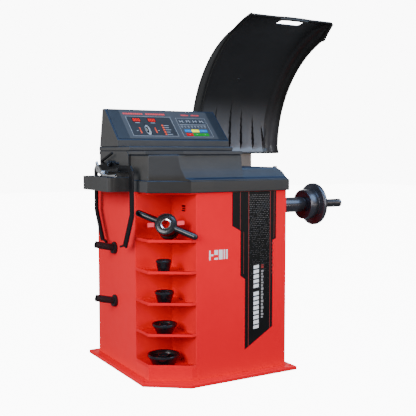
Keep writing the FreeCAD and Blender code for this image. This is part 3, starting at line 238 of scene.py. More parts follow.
ZINC = finish_of("zinc_plate", (0.55, 0.54, 0.50), 0.34, metal=0.95, shade=0.15, grain=600, bump=0.10)
BRASS = finish_of("plated_brass", (0.62, 0.50, 0.24), 0.28, metal=1.0, shade=0.10, grain=400, bump=0.05)
ALLOY = finish_of("cast_alloy", (0.50, 0.51, 0.53), 0.45, metal=0.9, shade=0.12, grain=350, bump=0.25)
CAST = finish_of("painted_casting", (0.08, 0.08, 0.09), 0.55, shade=0.2, grain=260, bump=0.35)
BRACKET = finish_of("bracket_paint", (0.17, 0.135, 0.105), 0.42, shade=0.12, grain=500, bump=0.12,
                    edge_wear_and_highlight=0.3, edge_wear_and_highlight_color=(0.4, 0.36, 0.33))
RUBBER = finish_of("moulded_rubber", (0.011, 0.010, 0.011), 0.55, shade=0.25, grain=700, bump=0.25,
                   specular=0.35, edge_wear_and_highlight=0.2, edge_wear_and_highlight_color=(0.05, 0.05, 0.05))
GRIP = finish_of("dipped_grip", (0.008, 0.008, 0.009), 0.42, shade=0.2, grain=500, bump=0.2)
LEVER_RED = finish_of("red_lever", (0.90, 0.02, 0.045), 0.35, coat=0.05, shade=0.06, grain=500,
                      bump=0.05)
BOARD = finish_of("circuit_board", (0.02, 0.12, 0.05), 0.4, shade=0.2, grain=180, bump=0.15)
SWITCH = finish_of("switch_black", (0.012, 0.012, 0.013), 0.3, shade=0.15, grain=900, bump=0.05)
# The yellow, red and green printed keys glow a little: a painted glow, since they hold no lamp.
KEY_BLUE = glowing("key_blue", (0.0, 0.18, 0.44), 0.0, 1600)
KEY_YELLOW = glowing("key_yellow", (0.95, 0.82, 0.0), 0.4, 1600)
KEY_RED = glowing("key_red", (0.50, 0.0, 0.003), 0.1, 1600)
KEY_GREEN = glowing("key_green", (0.0, 0.22, 0.012), 0.1, 1600)
GLOW_RED = glowing("display_red", (0.90, 0.01, 0.005), 0.9)
GLOW_ORANGE = glowing("led_orange", (0.85, 0.07, 0.01), 0.6)


# ---------------------------------------------------------------- geometry helpers

record = frame["record"]
BODY_OF = {node: body for body, members in record["behaviour"]["bodies"].items() for node in members}


def placed(name, data):
    """A new object for some data, put in the scene."""
    obj = bpy.data.objects.new(name, data)
    bpy.context.scene.collection.objects.link(obj)
    return obj


def add(name, mesh, material, body, replaces=(), crease=35):
    """Puts a mesh in the scene as a piece that rides on a body."""
    obj = placed(name, mesh)
    mesh.materials.append(material)
    mesh.shade_smooth()
    mesh.set_sharp_from_angle(angle=math.radians(crease))
    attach(obj, body)
    if replaces:
        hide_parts(*replaces)
    return obj


def for_node(node, mesh, material, crease=35):
    """A detailed piece that stands for a CAD node."""
    return add(node + "_finished", mesh, material, BODY_OF[node], [node], crease)


def mesh_of(bm, name):
    """Finishes a mesh: points welded, faces turned outwards."""
    mesh = bpy.data.meshes.new(name)
    bmesh.ops.remove_doubles(bm, verts=bm.verts, dist=0.001 * MM)
    bmesh.ops.recalc_face_normals(bm, faces=bm.faces)
    bm.to_mesh(mesh)
    bm.free()
    return mesh


def soften(obj, width, segments=2, angle=30):
    """A rounded edge of a given width, in millimetres, on every sharp edge."""
    bevel = obj.modifiers.new("edges", "BEVEL")
    bevel.width = width * MM
    bevel.segments = segments
    bevel.limit_method = "ANGLE"
    bevel.angle_limit = math.radians(angle)
    obj.modifiers.new("even_shading", "WEIGHTED_NORMAL")


def add_loft(bm, rings, loop=False):
    """Skins a row of rings of points, in millimetres, with the same count in each. A loop joins
    the last ring to the first; otherwise both ends are closed."""
    rows = [[bm.verts.new([c * MM for c in point]) for point in ring] for ring in rings]
    pairs = list(zip(rows, rows[1:])) + ([(rows[-1], rows[0])] if loop else [])
    for low, high in pairs:
        for i in range(len(low)):
            j = (i + 1) % len(low)
            bm.faces.new((low[i], low[j], high[j], high[i]))
    if not loop:
        bm.faces.new(rows[0][::-1])
        bm.faces.new(rows[-1])


def loft(name, rings, loop=False):
    bm = bmesh.new()
    add_loft(bm, rings, loop)
    return mesh_of(bm, name)


def ring_at(spot, along, radius, steps=48, sides=0):
    """A ring round the local Z axis of a matrix; sides > 0 makes it a polygon across flats."""
    points = []
    for i in range(steps):
        turn = math.tau * i / steps
        reach = radius
        if sides:
            half = math.pi / sides
            reach = radius / math.cos(turn % (2 * half) - half)
        points.append(spot @ Vector((reach * math.cos(turn), reach * math.sin(turn), along)))
    return points


def lathe(name, profile, spot, steps=48, loop=True):
    """A turned shape: profile rows are (distance along the axis, radius)."""
    return loft(name, [ring_at(spot, along, max(radius, 0.01), steps) for along, radius in profile],
                loop)


def turned_node(node, profile, spot, steps, material, crease=35):
    """A turned shape that stands for a CAD node."""
    return for_node(node, lathe(node + "_finished", profile, spot, steps), material, crease)


def axis_at(origin, direction):
    """A matrix in millimetres whose local Z runs along a direction."""
    turn = Vector(direction).to_track_quat("Z", "Y").to_matrix().to_4x4()
    return Matrix.Translation(Vector(origin)) @ turn


def add_tube(bm, path, radius, sides):
    """A round tube along a path, square to it at each point."""
    turns = [math.tau * k / sides for k in range(sides)]
    rings = []
    side = None
    for i, point in enumerate(path):
        way = (path[min(i + 1, len(path) - 1)] - path[max(i - 1, 0)]).normalized()
        if side is None:
            side = way.orthogonal()
        side = (side - way * side.dot(way)).normalized()
        other = way.cross(side)
        rings.append([point + radius * (side * math.cos(turn) + other * math.sin(turn))
                      for turn in turns])
    add_loft(bm, rings)


def tiles(name, outlines, where, low, high, material, inset=0.0):
    """Thin plates, one for each flat outline; where(u, v, height) gives a point in millimetres."""
    bm = bmesh.new()
    for outline in outlines:
        centre = Vector((sum(p[0] for p in outline), sum(p[1] for p in outline))) / len(outline)
        smaller = []
        for u, v in outline:
            away = Vector((u, v)) - centre
            smaller.append(centre + away * max(0.0, 1 - inset / max(away.length, 0.001)))
        add_loft(bm, [[where(u, v, low) for u, v in outline],
                      [where(u, v, high - inset) for u, v in outline],
                      [where(p.x, p.y, high) for p in smaller]])
    return add(name, mesh_of(bm, name), material, "cabinet")


def rect(u0, v0, u1, v1):
    return [(u0, v0), (u1, v0), (u1, v1), (u0, v1)]


def oval(u, v, wide, tall=None, steps=20):
    """An ellipse, or a circle when only one radius is given."""
    tall = wide if tall is None else tall
    return [(u + wide * math.cos(math.tau * i / steps), v + tall * math.sin(math.tau * i / steps))
            for i in range(steps)]


def frame_bars(u0, v0, u1, v1, width):
    """The four bars of a rectangular outline."""
    return [rect(u0, v0, u1, v0 + width), rect(u0, v1 - width, u1, v1),
            rect(u0, v0 + width, u0 + width, v1 - width), rect(u1 - width, v0 + width, u1, v1 - width)]


def blocks(start, end, low, high, shortest, longest, gap):
    """A row of plain bars of uneven length, standing in for a printed line."""
    row = []
    at = start
    while at < end - shortest:
        reach = min(end, at + random.uniform(shortest, longest))
        row.append(rect(at, low, reach, high))
        at = reach + gap
    return row


def cad_shape(node):
    """A CAD node's mesh for a new piece, with its doubled points welded."""
    bm = bmesh.new()
    bm.from_mesh(frame["nodes"][node].data)
    bmesh.ops.remove_doubles(bm, verts=bm.verts, dist=0.01 * MM)
    return bm


def rounded_copy(node, material, width, segments=2):
    """The CAD node's own shape with its sharp edges rounded, standing for the node."""
    bm = cad_shape(node)
    bmesh.ops.dissolve_limit(bm, angle_limit=math.radians(0.6), verts=bm.verts, edges=bm.edges)
    obj = for_node(node, mesh_of(bm, node + "_finished"), material)
    soften(obj, width, segments)
    return obj


def paint_faces(obj, material, test, cut=None):
    """Gives the faces that pass a test another material; cut is a plane (point, normal) first."""
    mesh = obj.data
    mesh.materials.append(material)
    bm = bmesh.new()
    bm.from_mesh(mesh)
    if cut:
        bmesh.ops.bisect_plane(bm, geom=bm.verts[:] + bm.edges[:] + bm.faces[:],
                               plane_co=cut[0], plane_no=cut[1])
    for face in bm.faces:
        if test(face):
            face.material_index = len(mesh.materials) - 1
    bm.to_mesh(mesh)
    bm.free()


def islands(node):
    """Centre points, in millimetres, of a CAD node's separate solids."""
    bm = cad_shape(node)
    left, centres = set(bm.verts), []
    while left:
        group, edge = set(), [left.pop()]
        while edge:
            vert = edge.pop()
            group.add(vert)
            for link in vert.link_edges:
                other = link.other_vert(vert)
                if other in left:
                    left.remove(other)
                    edge.append(other)
        low = Vector([min(v.co[k] for v in group) for k in range(3)])
        high = Vector([max(v.co[k] for v in group) for k in range(3)])
        centres.append((low + high) / 2 / MM)
    bm.free()
    return sorted(centres, key=lambda c: (round(c.z), round(c.x)))


# ---------------------------------------------------------------- camera, light, floor

CAMERA_PLACE = (-1.5835, -2.883, 0.955)         # metres
CAMERA_LENS, CAMERA_SENSOR = 63.17, 36          # millimetres
CAMERA_FALL, CAMERA_HEADING = 4.387, -30.3      # degrees
STUDIO_LIGHT, BACKDROP, FLOOR_GLOW = 0.36, 12, 10.5


def camera():
    data = bpy.data.cameras.new("camera")
    data.sensor_width = CAMERA_SENSOR
    data.lens = CAMERA_LENS
    obj = placed("camera", data)
    obj.location = CAMERA_PLACE
    obj.rotation_euler = (math.radians(90 - CAMERA_FALL), 0, math.radians(CAMERA_HEADING))
    bpy.context.scene.camera = obj


def backdrop():
    """A soft white world that stays plain and bright where the camera looks straight at it."""
    world = bpy.data.worlds.new("studio")
    bpy.context.scene.world = world
    world.use_nodes = True
    tree = world.node_tree
    soft = tree.nodes["Background"]
    soft.inputs["Color"].default_value = (1, 1, 1, 1)
    soft.inputs["Strength"].default_value = STUDIO_LIGHT
    bright = tree.nodes.new("ShaderNodeBackground")
    bright.inputs["Strength"].default_value = BACKDROP
    seen = tree.nodes.new("ShaderNodeLightPath")
    choice = tree.nodes.new("ShaderNodeMixShader")
    tree.links.new(seen.outputs["Is Camera Ray"], choice.inputs["Fac"])
    tree.links.new(soft.outputs["Background"], choice.inputs[1])
    tree.links.new(bright.outputs["Background"], choice.inputs[2])
    tree.links.new(choice.outputs["Shader"], tree.nodes["World Output"].inputs["Surface"])


def lamp(name, power, size, place, target, color=(1, 1, 1), gloss_only=False):
    """A square lamp, in metres and watts; gloss_only leaves its light off matt surfaces."""
    light = bpy.data.lights.new(name, "AREA")
    light.energy = power
    light.shape = "SQUARE"
    light.size = size
    light.color = color
    obj = placed(name, light)
    obj.location = place
    obj.visible_diffuse = not gloss_only
    obj.rotation_euler = (Vector(target) - Vector(place)).to_track_quat("-Z", "Y").to_euler()


def pale_floor():
    bm = bmesh.new()
    bmesh.ops.create_grid(bm, x_segments=8, y_segments=8, size=14)
    floor = placed("studio_floor", mesh_of(bm, "studio_floor"))
    floor.location.z = -0.5 * MM
    pale = finish_of("pale_floor", (0.22, 0.22, 0.22), 0.7, shade=0.01, grain=60, bump=0.02)
    tree = pale.node_tree
    shader = tree.nodes["Principled BSDF"]
    shader.inputs["Emission Color"].default_value = (1, 1, 1, 1)
    seen = tree.nodes.new("ShaderNodeLightPath")
    glow = tree.nodes.new("ShaderNodeMath")
    glow.operation = "MULTIPLY"
    glow.inputs[1].default_value = FLOOR_GLOW
    tree.links.new(seen.outputs["Is Camera Ray"], glow.inputs[0])
    tree.links.new(glow.outputs["Value"], shader.inputs["Emission Strength"])
    floor.data.materials.append(pale)


def studio():
    camera()
    backdrop()
    lamp("key", 132, 1.8, (-3.3, -1.6, 1.9), (0, 0, 0.7), (0.95, 0.97, 1.0))
    lamp("front", 78, 2.2, (1.1, -3.9, 1.5), (0, 0, 0.6), (1.0, 0.96, 0.92))
    lamp("top", 120, 2.0, (-0.3, -0.9, 3.4), (0, 0, 0.8), (0.36, 0.60, 1.0))
    lamp("back", 60, 1.8, (1.8, 3.0, 2.0), (0, 0, 0.7))
    lamp("sky", 110, 2.2, (2.3, -1.9, 2.8), (0.2, -0.2, 0.8), (0.42, 0.66, 1.0), gloss_only=True)
    lamp("horizon", 7, 0.45, (2.8, -2.95, 0.62), (0.5, -0.1, 0.7), (1.0, 0.88, 0.74), gloss_only=True)
    pale_floor()


# ---------------------------------------------------------------- cabinet

FRONT = -316.0          # the cabinet's front face, Y
SIDE_WALL = -138.0      # the rack's side wall, X


def on_front(x, z, height):
    return Vector((x, FRONT - height, z))


def on_side_wall(y, z, height):
    return Vector((SIDE_WALL - height, y, z))


def cabinet():
    rounded_copy("base_plate", RED, 4.0, 3)
    for node in ("cabinet_front_panel", "cabinet_left_panel", "cabinet_right_panel",
                 "cabinet_rear_panel", "rear_cover", "rack_kick_panel"):
        rounded_copy(node, RED, 1.0)
    for node in ("rack_back_wall", "rack_side_wall", "rack_floor", "rack_header",
                 "rack_shelf_1", "rack_shelf_2", "rack_shelf_3", "rack_shelf_4"):
        rounded_copy(node, RED_RACK, 0.8)
    decal()
    screws()


def halftone():
    """Rows of dots that shrink and thin out downwards, fastest at the band's sides."""
    left, right, top, pitch = 118, 223, 774, 8.2
    rows, columns = 56, 14
    dots = []
    for row in range(rows):
        fade = row / rows
        for column in range(columns):
            x = left + column * pitch + (row % 2) * pitch / 2
            far = abs(column - columns / 2) / (columns / 2)
            if x < right and random.random() > 1.15 * fade * (0.35 + 0.65 * far):
                dots.append(oval(x, top - row * pitch, 1.25 - 0.75 * fade, steps=6))
    return dots


def decal():
    """The black band on the front with its lines, dots and plain printed bars."""
    tiles("front_decal", [[(34, 789), (34, 647), (75.5, 624), (75.5, 433), (98, 418), (98, 113),
                           (240, 198), (240, 576), (257, 583), (257, 789)]],
          on_front, -0.2, 0.4, INK)
    lines = [rect(72.5, 629, 74.5, 789), rect(114.5, 125, 116.8, 789), rect(225.4, 192, 227.6, 789),
             rect(90, 440, 91.5, 620), rect(246, 586, 247.5, 789)]
    tiles("decal_lines", lines, on_front, 0.3, 0.6, INK_RED)
    tiles("decal_dots", halftone(), on_front, 0.3, 0.55, INK_GREY)
    bars = []
    top = 474.0
    for index in range(13):
        tall = 15.5 + (index % 3)
        bars.append([(142, top - tall - 1.5), (169, top - tall + 1.5), (169, top), (142, top - 3)])
        top -= tall + (16 if index == 4 else 4.2)
    tiles("decal_bars", bars, on_front, 0.3, 0.65, INK_WHITE)
    fine = []
    for i, (start, end, _, _) in enumerate(blocks(242, 452, 0, 1, 7, 11, 4)):
        fine.append(rect(181, start[0], 190 + (i % 2) * 3, end[0]))
    tiles("decal_fine_bars", fine, on_front, 0.3, 0.55, INK_GREY)
    tiles("decal_red_bars", [rect(181, 458, 193, 466), rect(181, 469, 193, 473)] +
          [rect(236, z, 239 if i % 2 else 244, z + 9) for i, z in enumerate(range(430, 560, 16))],
          on_front, 0.3, 0.6, INK_RED)
    mark = [rect(-78, 511, -71, 551), rect(-69, 527, -58, 535), rect(-53, 511, -36, 519),
            rect(-53, 531, -36, 551), rect(-31, 511, -13, 551), rect(-8, 511, -1, 551),
            rect(4, 511, 11, 551)]
    tiles("front_mark", mark, on_front, -0.2, 0.5, INK_WHITE)
    tiles("rack_mark", [rect(-222, 708, -192, 714), rect(-222, 717, -198, 723),
                        rect(-222, 726, -192, 734)], on_side_wall, -0.2, 0.4, INK)


def screws():
    """Socket-head screws of the rear cover and cap bolts of the guard post."""
    bm = bmesh.new()
    for centre in islands("rear_cover_screws"):
        add_screw(bm, axis_at(centre - Vector((0, 1.75, 0)), (0, 1, 0)), 6.0, 3.5)
    for_node("rear_cover_screws", mesh_of(bm, "rear_cover_screws_finished"), ZINC)
    bm = bmesh.new()
    for centre in islands("guard_bolts"):
        outward = Vector((0, centre.y - GUARD_Y, centre.z - GUARD_Z)).normalized()
        add_screw(bm, axis_at(centre - outward * 2.5, outward), 7.0, 5.0)
    for_node("guard_bolts", mesh_of(bm, "guard_bolts_finished"), ZINC)


def add_screw(bm, spot, radius, tall):
    """A screw head with a rounded top and a hexagon socket."""
    socket = 0.45 * radius
    rows = [(0, radius, 0), (0.55 * tall, radius, 0), (0.85 * tall, 0.9 * radius, 0),
            (tall, 0.7 * radius, 0), (tall, socket, 6), (0.45 * tall, socket, 6)]
    add_loft(bm, [ring_at(spot, along, reach, 36, sides) for along, reach, sides in rows])


# ---------------------------------------------------------------- head mouldings

CUT_SLOPE = 0.6545                      # fall of the body's chamfer in plan, Y over X
CUT_X, CUT_Y = -168.9, -324.9
BAND_OUT, BAND_CUT_X, BAND_CUT_Y, BAND_FRONT = 321, -167, -238, -325
BODY_LEFT, BODY_RIGHT, BODY_BACK = -311, 246, 264
STEP_LEFT = -150                        # the low step stays hidden inside the body on this side


def cut_corner(front):
    """Where the body's chamfer meets a front face, in plan."""
    return CUT_X + (CUT_Y - front) / CUT_SLOPE


def band_ring(z, inset):
    """The head's lower band in plan, drawn in by an inset."""
    return [(-BAND_OUT + inset, BAND_OUT - inset, z), (-BAND_OUT + inset, BAND_CUT_Y + inset / 2, z),
            (BAND_CUT_X + inset / 2, BAND_FRONT + inset, z), (BAND_OUT - inset, BAND_FRONT + inset, z),
            (BAND_OUT - inset, BAND_OUT - inset, z)]


def body_ring(z, front, inset):
    """The head's tall body in plan: cut corner at the left, slanted side at the right."""
    return [(BODY_LEFT + inset, BODY_BACK - inset, z), (BODY_LEFT + inset, -231.9 + inset / 2, z),
            (cut_corner(front) + inset / 2, front, z), (90 - inset, front, z),
            (188 - inset, -73, z), (BODY_RIGHT - inset, 47, z),
            (BODY_RIGHT - inset, BODY_BACK - inset, z)]


def head():
    bm = bmesh.new()
    add_loft(bm, [band_ring(z, inset) for z, inset in
                  ((790, 3), (791, 0.6), (793, 0), (835, 0), (838.5, 1.5), (840, 5))])
    low_rows = [(838, -324.5, 314, 268), (843, -323.5, 312, 266), (847, -317, 310.5, 264),
                (851, -312.6, 309, 262), (866, -307.5, 301, 259), (877, -304.5, 290, 256),
                (885, -302.3, 276, 253), (889.5, -299, 264, 249), (891, -292, 254, 242)]
    add_loft(bm, [[(STEP_LEFT, back, z), (STEP_LEFT, front, z), (right, front, z), (right, back, z)]
                  for z, front, right, back in low_rows])
    high_rows = [(838, -324.9, 0), (843, -324.2, 0), (847, -317, 0), (851, -312.6, 0),
                 (872, -307, 0), (893, -301.7, 0), (930, -297.8, 0), (938, -297.2, 0.4),
                 (942.5, -296.4, 2), (945, -294, 6)]
    add_loft(bm, [body_ring(*row) for row in high_rows])
    cover = for_node("top_cover", mesh_of(bm, "top_cover_finished"), SLATE, 28)
    soften(cover, 3.0, 3, 24)
    boss = axis_at((287, -201, 866), (1, 0, 0))
    sleeve = [(0, 6.6), (0, 11), (22, 11), (24.5, 9.5), (24.5, 6.6)]
    add("gauge_guide", lathe("gauge_guide", sleeve, boss, 36), RUBBER, "cabinet")
    rounded_copy("weight_tray", SLATE, 1.2, 2)
    rounded_copy("console_base", SLATE, 5.0, 4)
    rounded_copy("console_housing", SLATE, 5.0, 4)
    rounded_copy("caliper_hanger", SLATE, 4.0, 4)
    wing = rounded_copy("side_tool_tray", SLATE, 3.0, 3)
    # The wing's left-facing faces take the ribbed finish, with its paler colour as a painted highlight.
    paint_faces(wing, RIBBED, lambda face: face.normal.x < -0.9 and face.calc_center_median().x < -0.40)


# ---------------------------------------------------------------- control panel

PANEL_ORIGIN = Vector((-323, 47, 1007))
PANEL_UP = Vector((0, 147, 142)).normalized()
PANEL_OUT = Vector((0, -142, 147)).normalized()


def on_panel(u, v, height):
    return PANEL_ORIGIN + Vector((u, 0, 0)) + PANEL_UP * v + PANEL_OUT * height


def zero(u, v, wide, tall, bar):
    """The six lit bars of a zero."""
    right, top, middle = u + wide, v + tall, v + tall / 2
    bars = [rect(u, v, right, v + bar), rect(u, top - bar, right, top)]
    for start, end in ((u, u + bar), (right - bar, right)):
        bars += [rect(start, v + bar + 0.6, end, middle - 0.4),
                 rect(start, middle + 0.4, end, top - bar - 0.6)]
    return bars


def control_panel():
    mesh = loft("control_panel_finished", [[on_panel(u, v, h) for u, v in rect(8, 8, 558, 196.4)]
                                           for h in (0, 2)])
    soften(for_node("control_panel", mesh, SLATE_DARK), 0.8)
    tiles("label_film", [rect(63, 8.5, 514, 195.5)], on_panel, 1.5, 2.3, FILM, inset=0.3)
    titles = blocks(78, 180, 167, 177, 6, 10, 2.2) + blocks(190, 296, 167, 177, 6, 10, 2.2)
    titles += blocks(374, 420, 167, 175, 5, 8, 2) + blocks(428, 475, 167, 175, 5, 8, 2)
    tiles("label_titles", titles, on_panel, 2.2, 2.5, RED_PRINT)
    tiles("display_screen", [rect(88, 29, 306, 151)], on_panel, 2.1, 2.5, SCREEN, inset=0.2)
    outline = frame_bars(84, 25, 310, 155, 1.3) + frame_bars(336, 22, 492, 150, 1.0)
    tiles("panel_outline", outline, on_panel, 2.2, 2.6, PRINT)
    windows = [rect(110, 118, 151, 143), rect(186, 118, 227, 143)]
    tiles("digit_windows", windows, on_panel, 2.3, 2.8, INK)
    digits = []
    for start in (110, 186):
        for k in range(3):
            digits += zero(start + 4 + 12.2 * k, 122, 9, 17, 2.3)
    tiles("digits", digits, on_panel, 2.7, 3.0, GLOW_RED)
    display_marks()
    keypad()


def display_marks():
    """Small print of the whole label, and the lit bars, lamps and wheel of the display."""
    small = [rect(120, 110, 142, 113.5), rect(196, 110, 218, 113.5)]
    small += [rect(256, v, 256 + wide, v + 3)
              for v, wide in ((36, 26), (51, 20), (66, 28), (80, 22), (94, 25))]
    small += [rect(110, 58, 118, 61), rect(216, 60, 224, 63)]
    for i in range(8):
        u = 345 + 17.4 * i
        small += [rect(u, 93, u + 10, 95.5), rect(u + 2, 85, u + 7, 87.5)]
    small += [rect(343, 104, 482, 106)]
    tiles("panel_marks", small, on_panel, 2.4, 2.75, PRINT)
    bars = [rect(127, 44 + 8 * i, 132.5, 48 + 8 * i) for i in range(5)]
    bars += [rect(204, 46 + 7.4 * i, 209, 50 + 7.4 * i) for i in range(5)]
    tiles("position_bars", bars, on_panel, 2.4, 3.0, GLOW_ORANGE, inset=0.2)
    tiles("status_leds", [oval(249.3, v, 4.2) for v in (37.5, 52.5, 67.5, 81.5, 95.5)], on_panel,
          2.4, 3.6, GLOW_ORANGE, inset=0.8)
    tiles("wheel_icon", [oval(167.5, 64.5, 13, 32, 36)], on_panel, 2.4, 2.8, PRINT)
    tiles("wheel_icon_gaps", [oval(163.5, 66, 7, 22, 30)] +
          [rect(176, 40 + 9 * i, 181, 44 + 9 * i) for i in range(6)], on_panel, 2.7, 3.0, INK)
    tiles("wheel_icon_hub", [oval(161.5, 67, 3.6, 11, 24), oval(171, 84, 2.6, 6), oval(171, 47, 2.6, 6)],
          on_panel, 2.9, 3.2, CHROME)


def keypad():
    """The four symbol tiles and the raised keys on the label's right half."""
    squares = (343, 379, 415, 450)
    tiles("symbol_tiles", [rect(u, 114, u + 31, 141) for u in squares], on_panel, 2.2, 2.8, SCREEN,
          inset=0.3)
    glyphs = []
    for i, u in enumerate(squares):
        bar = 126 + (i % 2) * 3
        glyphs += [rect(u + 6, 119, u + 9, 136), rect(u + 21, 119, u + 24, 136),
                   rect(u + 9, bar, u + 21, bar + 3), oval(u + 27, 121 + 4 * (i % 3), 1.8)]
    tiles("symbols", glyphs, on_panel, 2.7, 3.0, PRINT)
    keys = [("key_blue_pair", KEY_BLUE, [rect(354, 54, 388, 71), rect(431, 54, 473, 71)]),
            ("key_yellow", KEY_YELLOW, [rect(390, 54, 429, 71)]),
            ("key_red", KEY_RED, [rect(354, 29, 388, 46)]),
            ("key_green", KEY_GREEN, [rect(390, 29, 430, 46), rect(432, 29, 472, 46)])]
    for name, material, outlines in keys:
        tiles(name, outlines, on_panel, 2.2, 3.4, material, inset=0.7)
    tiles("key_marks", [rect(367, 61, 375, 63), rect(447, 61, 456, 63), rect(406, 60, 413, 64),
                        rect(368, 37, 374, 39), rect(406, 37, 413, 39), rect(448, 37, 455, 39)],
          on_panel, 3.3, 3.6, INK_GREY)


# ---------------------------------------------------------------- wheel guard

# The guard's surface is given by X, by the radius from its centre line and by the angle above
# the centre line, in degrees, seen from the machine's right.
GUARD_Y, GUARD_Z = -245.0, 966.0
GUARD_LEFT, GUARD_RIGHT = 249.0, 714.0
GUARD_INNER, GUARD_THICK = 616.0, 4.0
GUARD_SWEEP, GUARD_DIP = 79.0, 1.8
TURN_END, TURN_SLANT = 561.0, 7.3               # the right flange's inner radius and its slant
ARCH_LEFT, ARCH_RIGHT, ARCH_RISE = 392.0, 580.0, 0.9
FLANGE_CENTRE = Vector((-109.0, 1001.5))        # Y and Z of the left flange's outer arc
FLANGE_RADIUS, FLANGE_BACK = 543.0, 408.0
PLEATS = (((347, 24), (352, 3)), ((428, 28.5), (443, 5)), ((497, 23.7), (515, 3)),
          ((570, 19.8), (590, 3)), ((633, 14.4), (657, 3)))     # top and foot, X and angle
PLEAT_WIDE, PLEAT_DEEP, PLEATS_END = 62, 17, 652


def guard_point(x, radius, angle):
    turn = math.radians(angle)
    return Vector((x, GUARD_Y + radius * math.cos(turn), GUARD_Z + radius * math.sin(turn)))


def flange_reach(angle):
    """Radius of the left flange's outer edge: its own arc, cut straight behind, then the shell."""
    way = Vector((math.cos(math.radians(angle)), math.sin(math.radians(angle))))
    back = Vector((GUARD_Y, GUARD_Z)) - FLANGE_CENTRE
    along = back.dot(way)
    reach = -along + math.sqrt(along ** 2 - back.length_squared + FLANGE_RADIUS ** 2)
    return max(GUARD_INNER + 4, min(reach, (FLANGE_BACK - GUARD_Y) / way.x) - 3)


def smooth(value):
    value = min(1.0, max(0.0, value))
    return value * value * (3 - 2 * value)


def free_edge(x):
    """Angle of the guard's free edge, which arches up over the hand slot."""
    if not ARCH_LEFT < x < ARCH_RIGHT:
        return GUARD_SWEEP
    share = (x - ARCH_LEFT) / (ARCH_RIGHT - ARCH_LEFT)
    return GUARD_SWEEP + ARCH_RISE * math.sin(math.pi * share) ** 0.8


def pleat_depth(x, angle):
    """How far the pressed pleats stand in from the shell."""
    depth = 0.0
    for (top_x, top_angle), (low_x, low_angle) in PLEATS:
        share = (top_angle - angle) / (top_angle - low_angle)
        line = top_x + (low_x - top_x) * share
        aside = (x - line) / PLEAT_WIDE
        if share > 0 and 0 <= aside < 1:
            depth += PLEAT_DEEP * smooth(min(1, share * 1.1)) * (1 - aside) ** 1.5
    return depth * smooth((angle - 1.2) / 2.5)


def guard_section(angle):
    """The guard's inner line at one angle: left flange, shell, rounded corner, right flange."""
    corner = 8 + 40 * smooth((78 - angle) / 10)
    reach = flange_reach(angle)
    rows = [(GUARD_LEFT, reach - (reach - GUARD_INNER - 3) * i / 4) for i in range(5)]
    rows.append((GUARD_LEFT + 1.5, GUARD_INNER + 1.5))
    columns = 130
    for i in range(columns + 1):
        x = GUARD_LEFT + 5 + (GUARD_RIGHT - corner - GUARD_LEFT - 5) * i / columns
        rows.append((x, GUARD_INNER - pleat_depth(x, angle)))
    for i in range(1, 10):
        turn = math.pi / 2 * i / 10
        rows.append((GUARD_RIGHT - corner + corner * math.sin(turn),
                     GUARD_INNER - corner + corner * math.cos(turn)))
    for i in range(7):
        rows.append((GUARD_RIGHT, GUARD_INNER - corner - (GUARD_INNER - corner - TURN_END) * i / 6))
    return rows


def guard_row(angle):
    """The guard's points at one angle, with its beads, its arched edge and its slanted flange."""
    row = []
    for x, radius in guard_section(angle):
        bead = 0
        if radius <= GUARD_INNER + 1:
            bead = 5 * smooth((angle - 77.0) / 0.5) + 9 * smooth((1.6 - angle) / 0.4)
        lean = 0
        if x > GUARD_RIGHT - 1:
            lean = TURN_SLANT * min(1, max(0, (GUARD_INNER - 8 - radius) / 46))
        tilt = smooth((angle - 40) / 39) * (free_edge(x) - GUARD_SWEEP - lean)
        tilt -= GUARD_DIP * (1 - min(1, angle / 3))
        row.append(guard_point(x, radius - bead, angle + tilt) * MM)
    return row


def wheel_guard():
    bm = bmesh.new()
    steps = 110
    grid = [[bm.verts.new(point) for point in guard_row(GUARD_SWEEP * k / steps)]
            for k in range(steps + 1)]
    for low, high in zip(grid, grid[1:]):
        for i in range(len(low) - 1):
            bm.faces.new((low[i], low[i + 1], high[i + 1], high[i]))
    shell = for_node("wheel_guard", mesh_of(bm, "wheel_guard_finished"), HOOD, 50)
    middle = shell.data.polygons[len(shell.data.polygons) // 2]
    inward = (Vector((0, GUARD_Y, GUARD_Z)) * MM - middle.center).dot(middle.normal) > 0
    thick = shell.modifiers.new("thickness", "SOLIDIFY")
    thick.thickness = GUARD_THICK * MM
    thick.offset = -1 if inward else 1
    cut_slot(shell)
    # The pleated stretch takes the hood colour with its painted reflection and painted shade.
    paint_faces(shell, HOOD_PLEATED,
                lambda face: GUARD_LEFT + 8 < face.calc_center_median().x / MM < PLEATS_END)
    # The left flange's edge faces take the paler edge plastic: a painted highlight.
    paint_faces(shell, HOOD_EDGE_PAINTED_HIGHLIGHT, lambda face: face.calc_center_median().x < (GUARD_LEFT + 3) * MM)
    guard_rim()
    seat = guard_point(428, GUARD_INNER + 2, 35)
    boss = axis_at(seat, (0, GUARD_Y - seat.y, GUARD_Z - seat.z))
    rivet = [(0, 9), (3, 9), (4.5, 7.5), (5, 4), (4.4, 3.4), (4.4, 0)]
    add("guard_rivet", lathe("guard_rivet", rivet, boss, 28, loop=False), HOOD, "guard")


def cut_slot(shell):
    """Cuts the hand slot through the thickened shell, and keeps the result as its mesh."""
    cutter = placed("slot_cutter", loft("slot_cutter", [
        [guard_point(x, radius, angle) for x, angle in slot_outline()] for radius in (585, 650)]))
    hole = shell.modifiers.new("slot", "BOOLEAN")
    hole.operation = "DIFFERENCE"
    hole.object = cutter
    hole.solver = "EXACT"
    depsgraph = bpy.context.evaluated_depsgraph_get()
    finished = bpy.data.meshes.new_from_object(shell.evaluated_get(depsgraph))
    shell.modifiers.clear()
    shell.data = finished
    bpy.data.objects.remove(cutter)


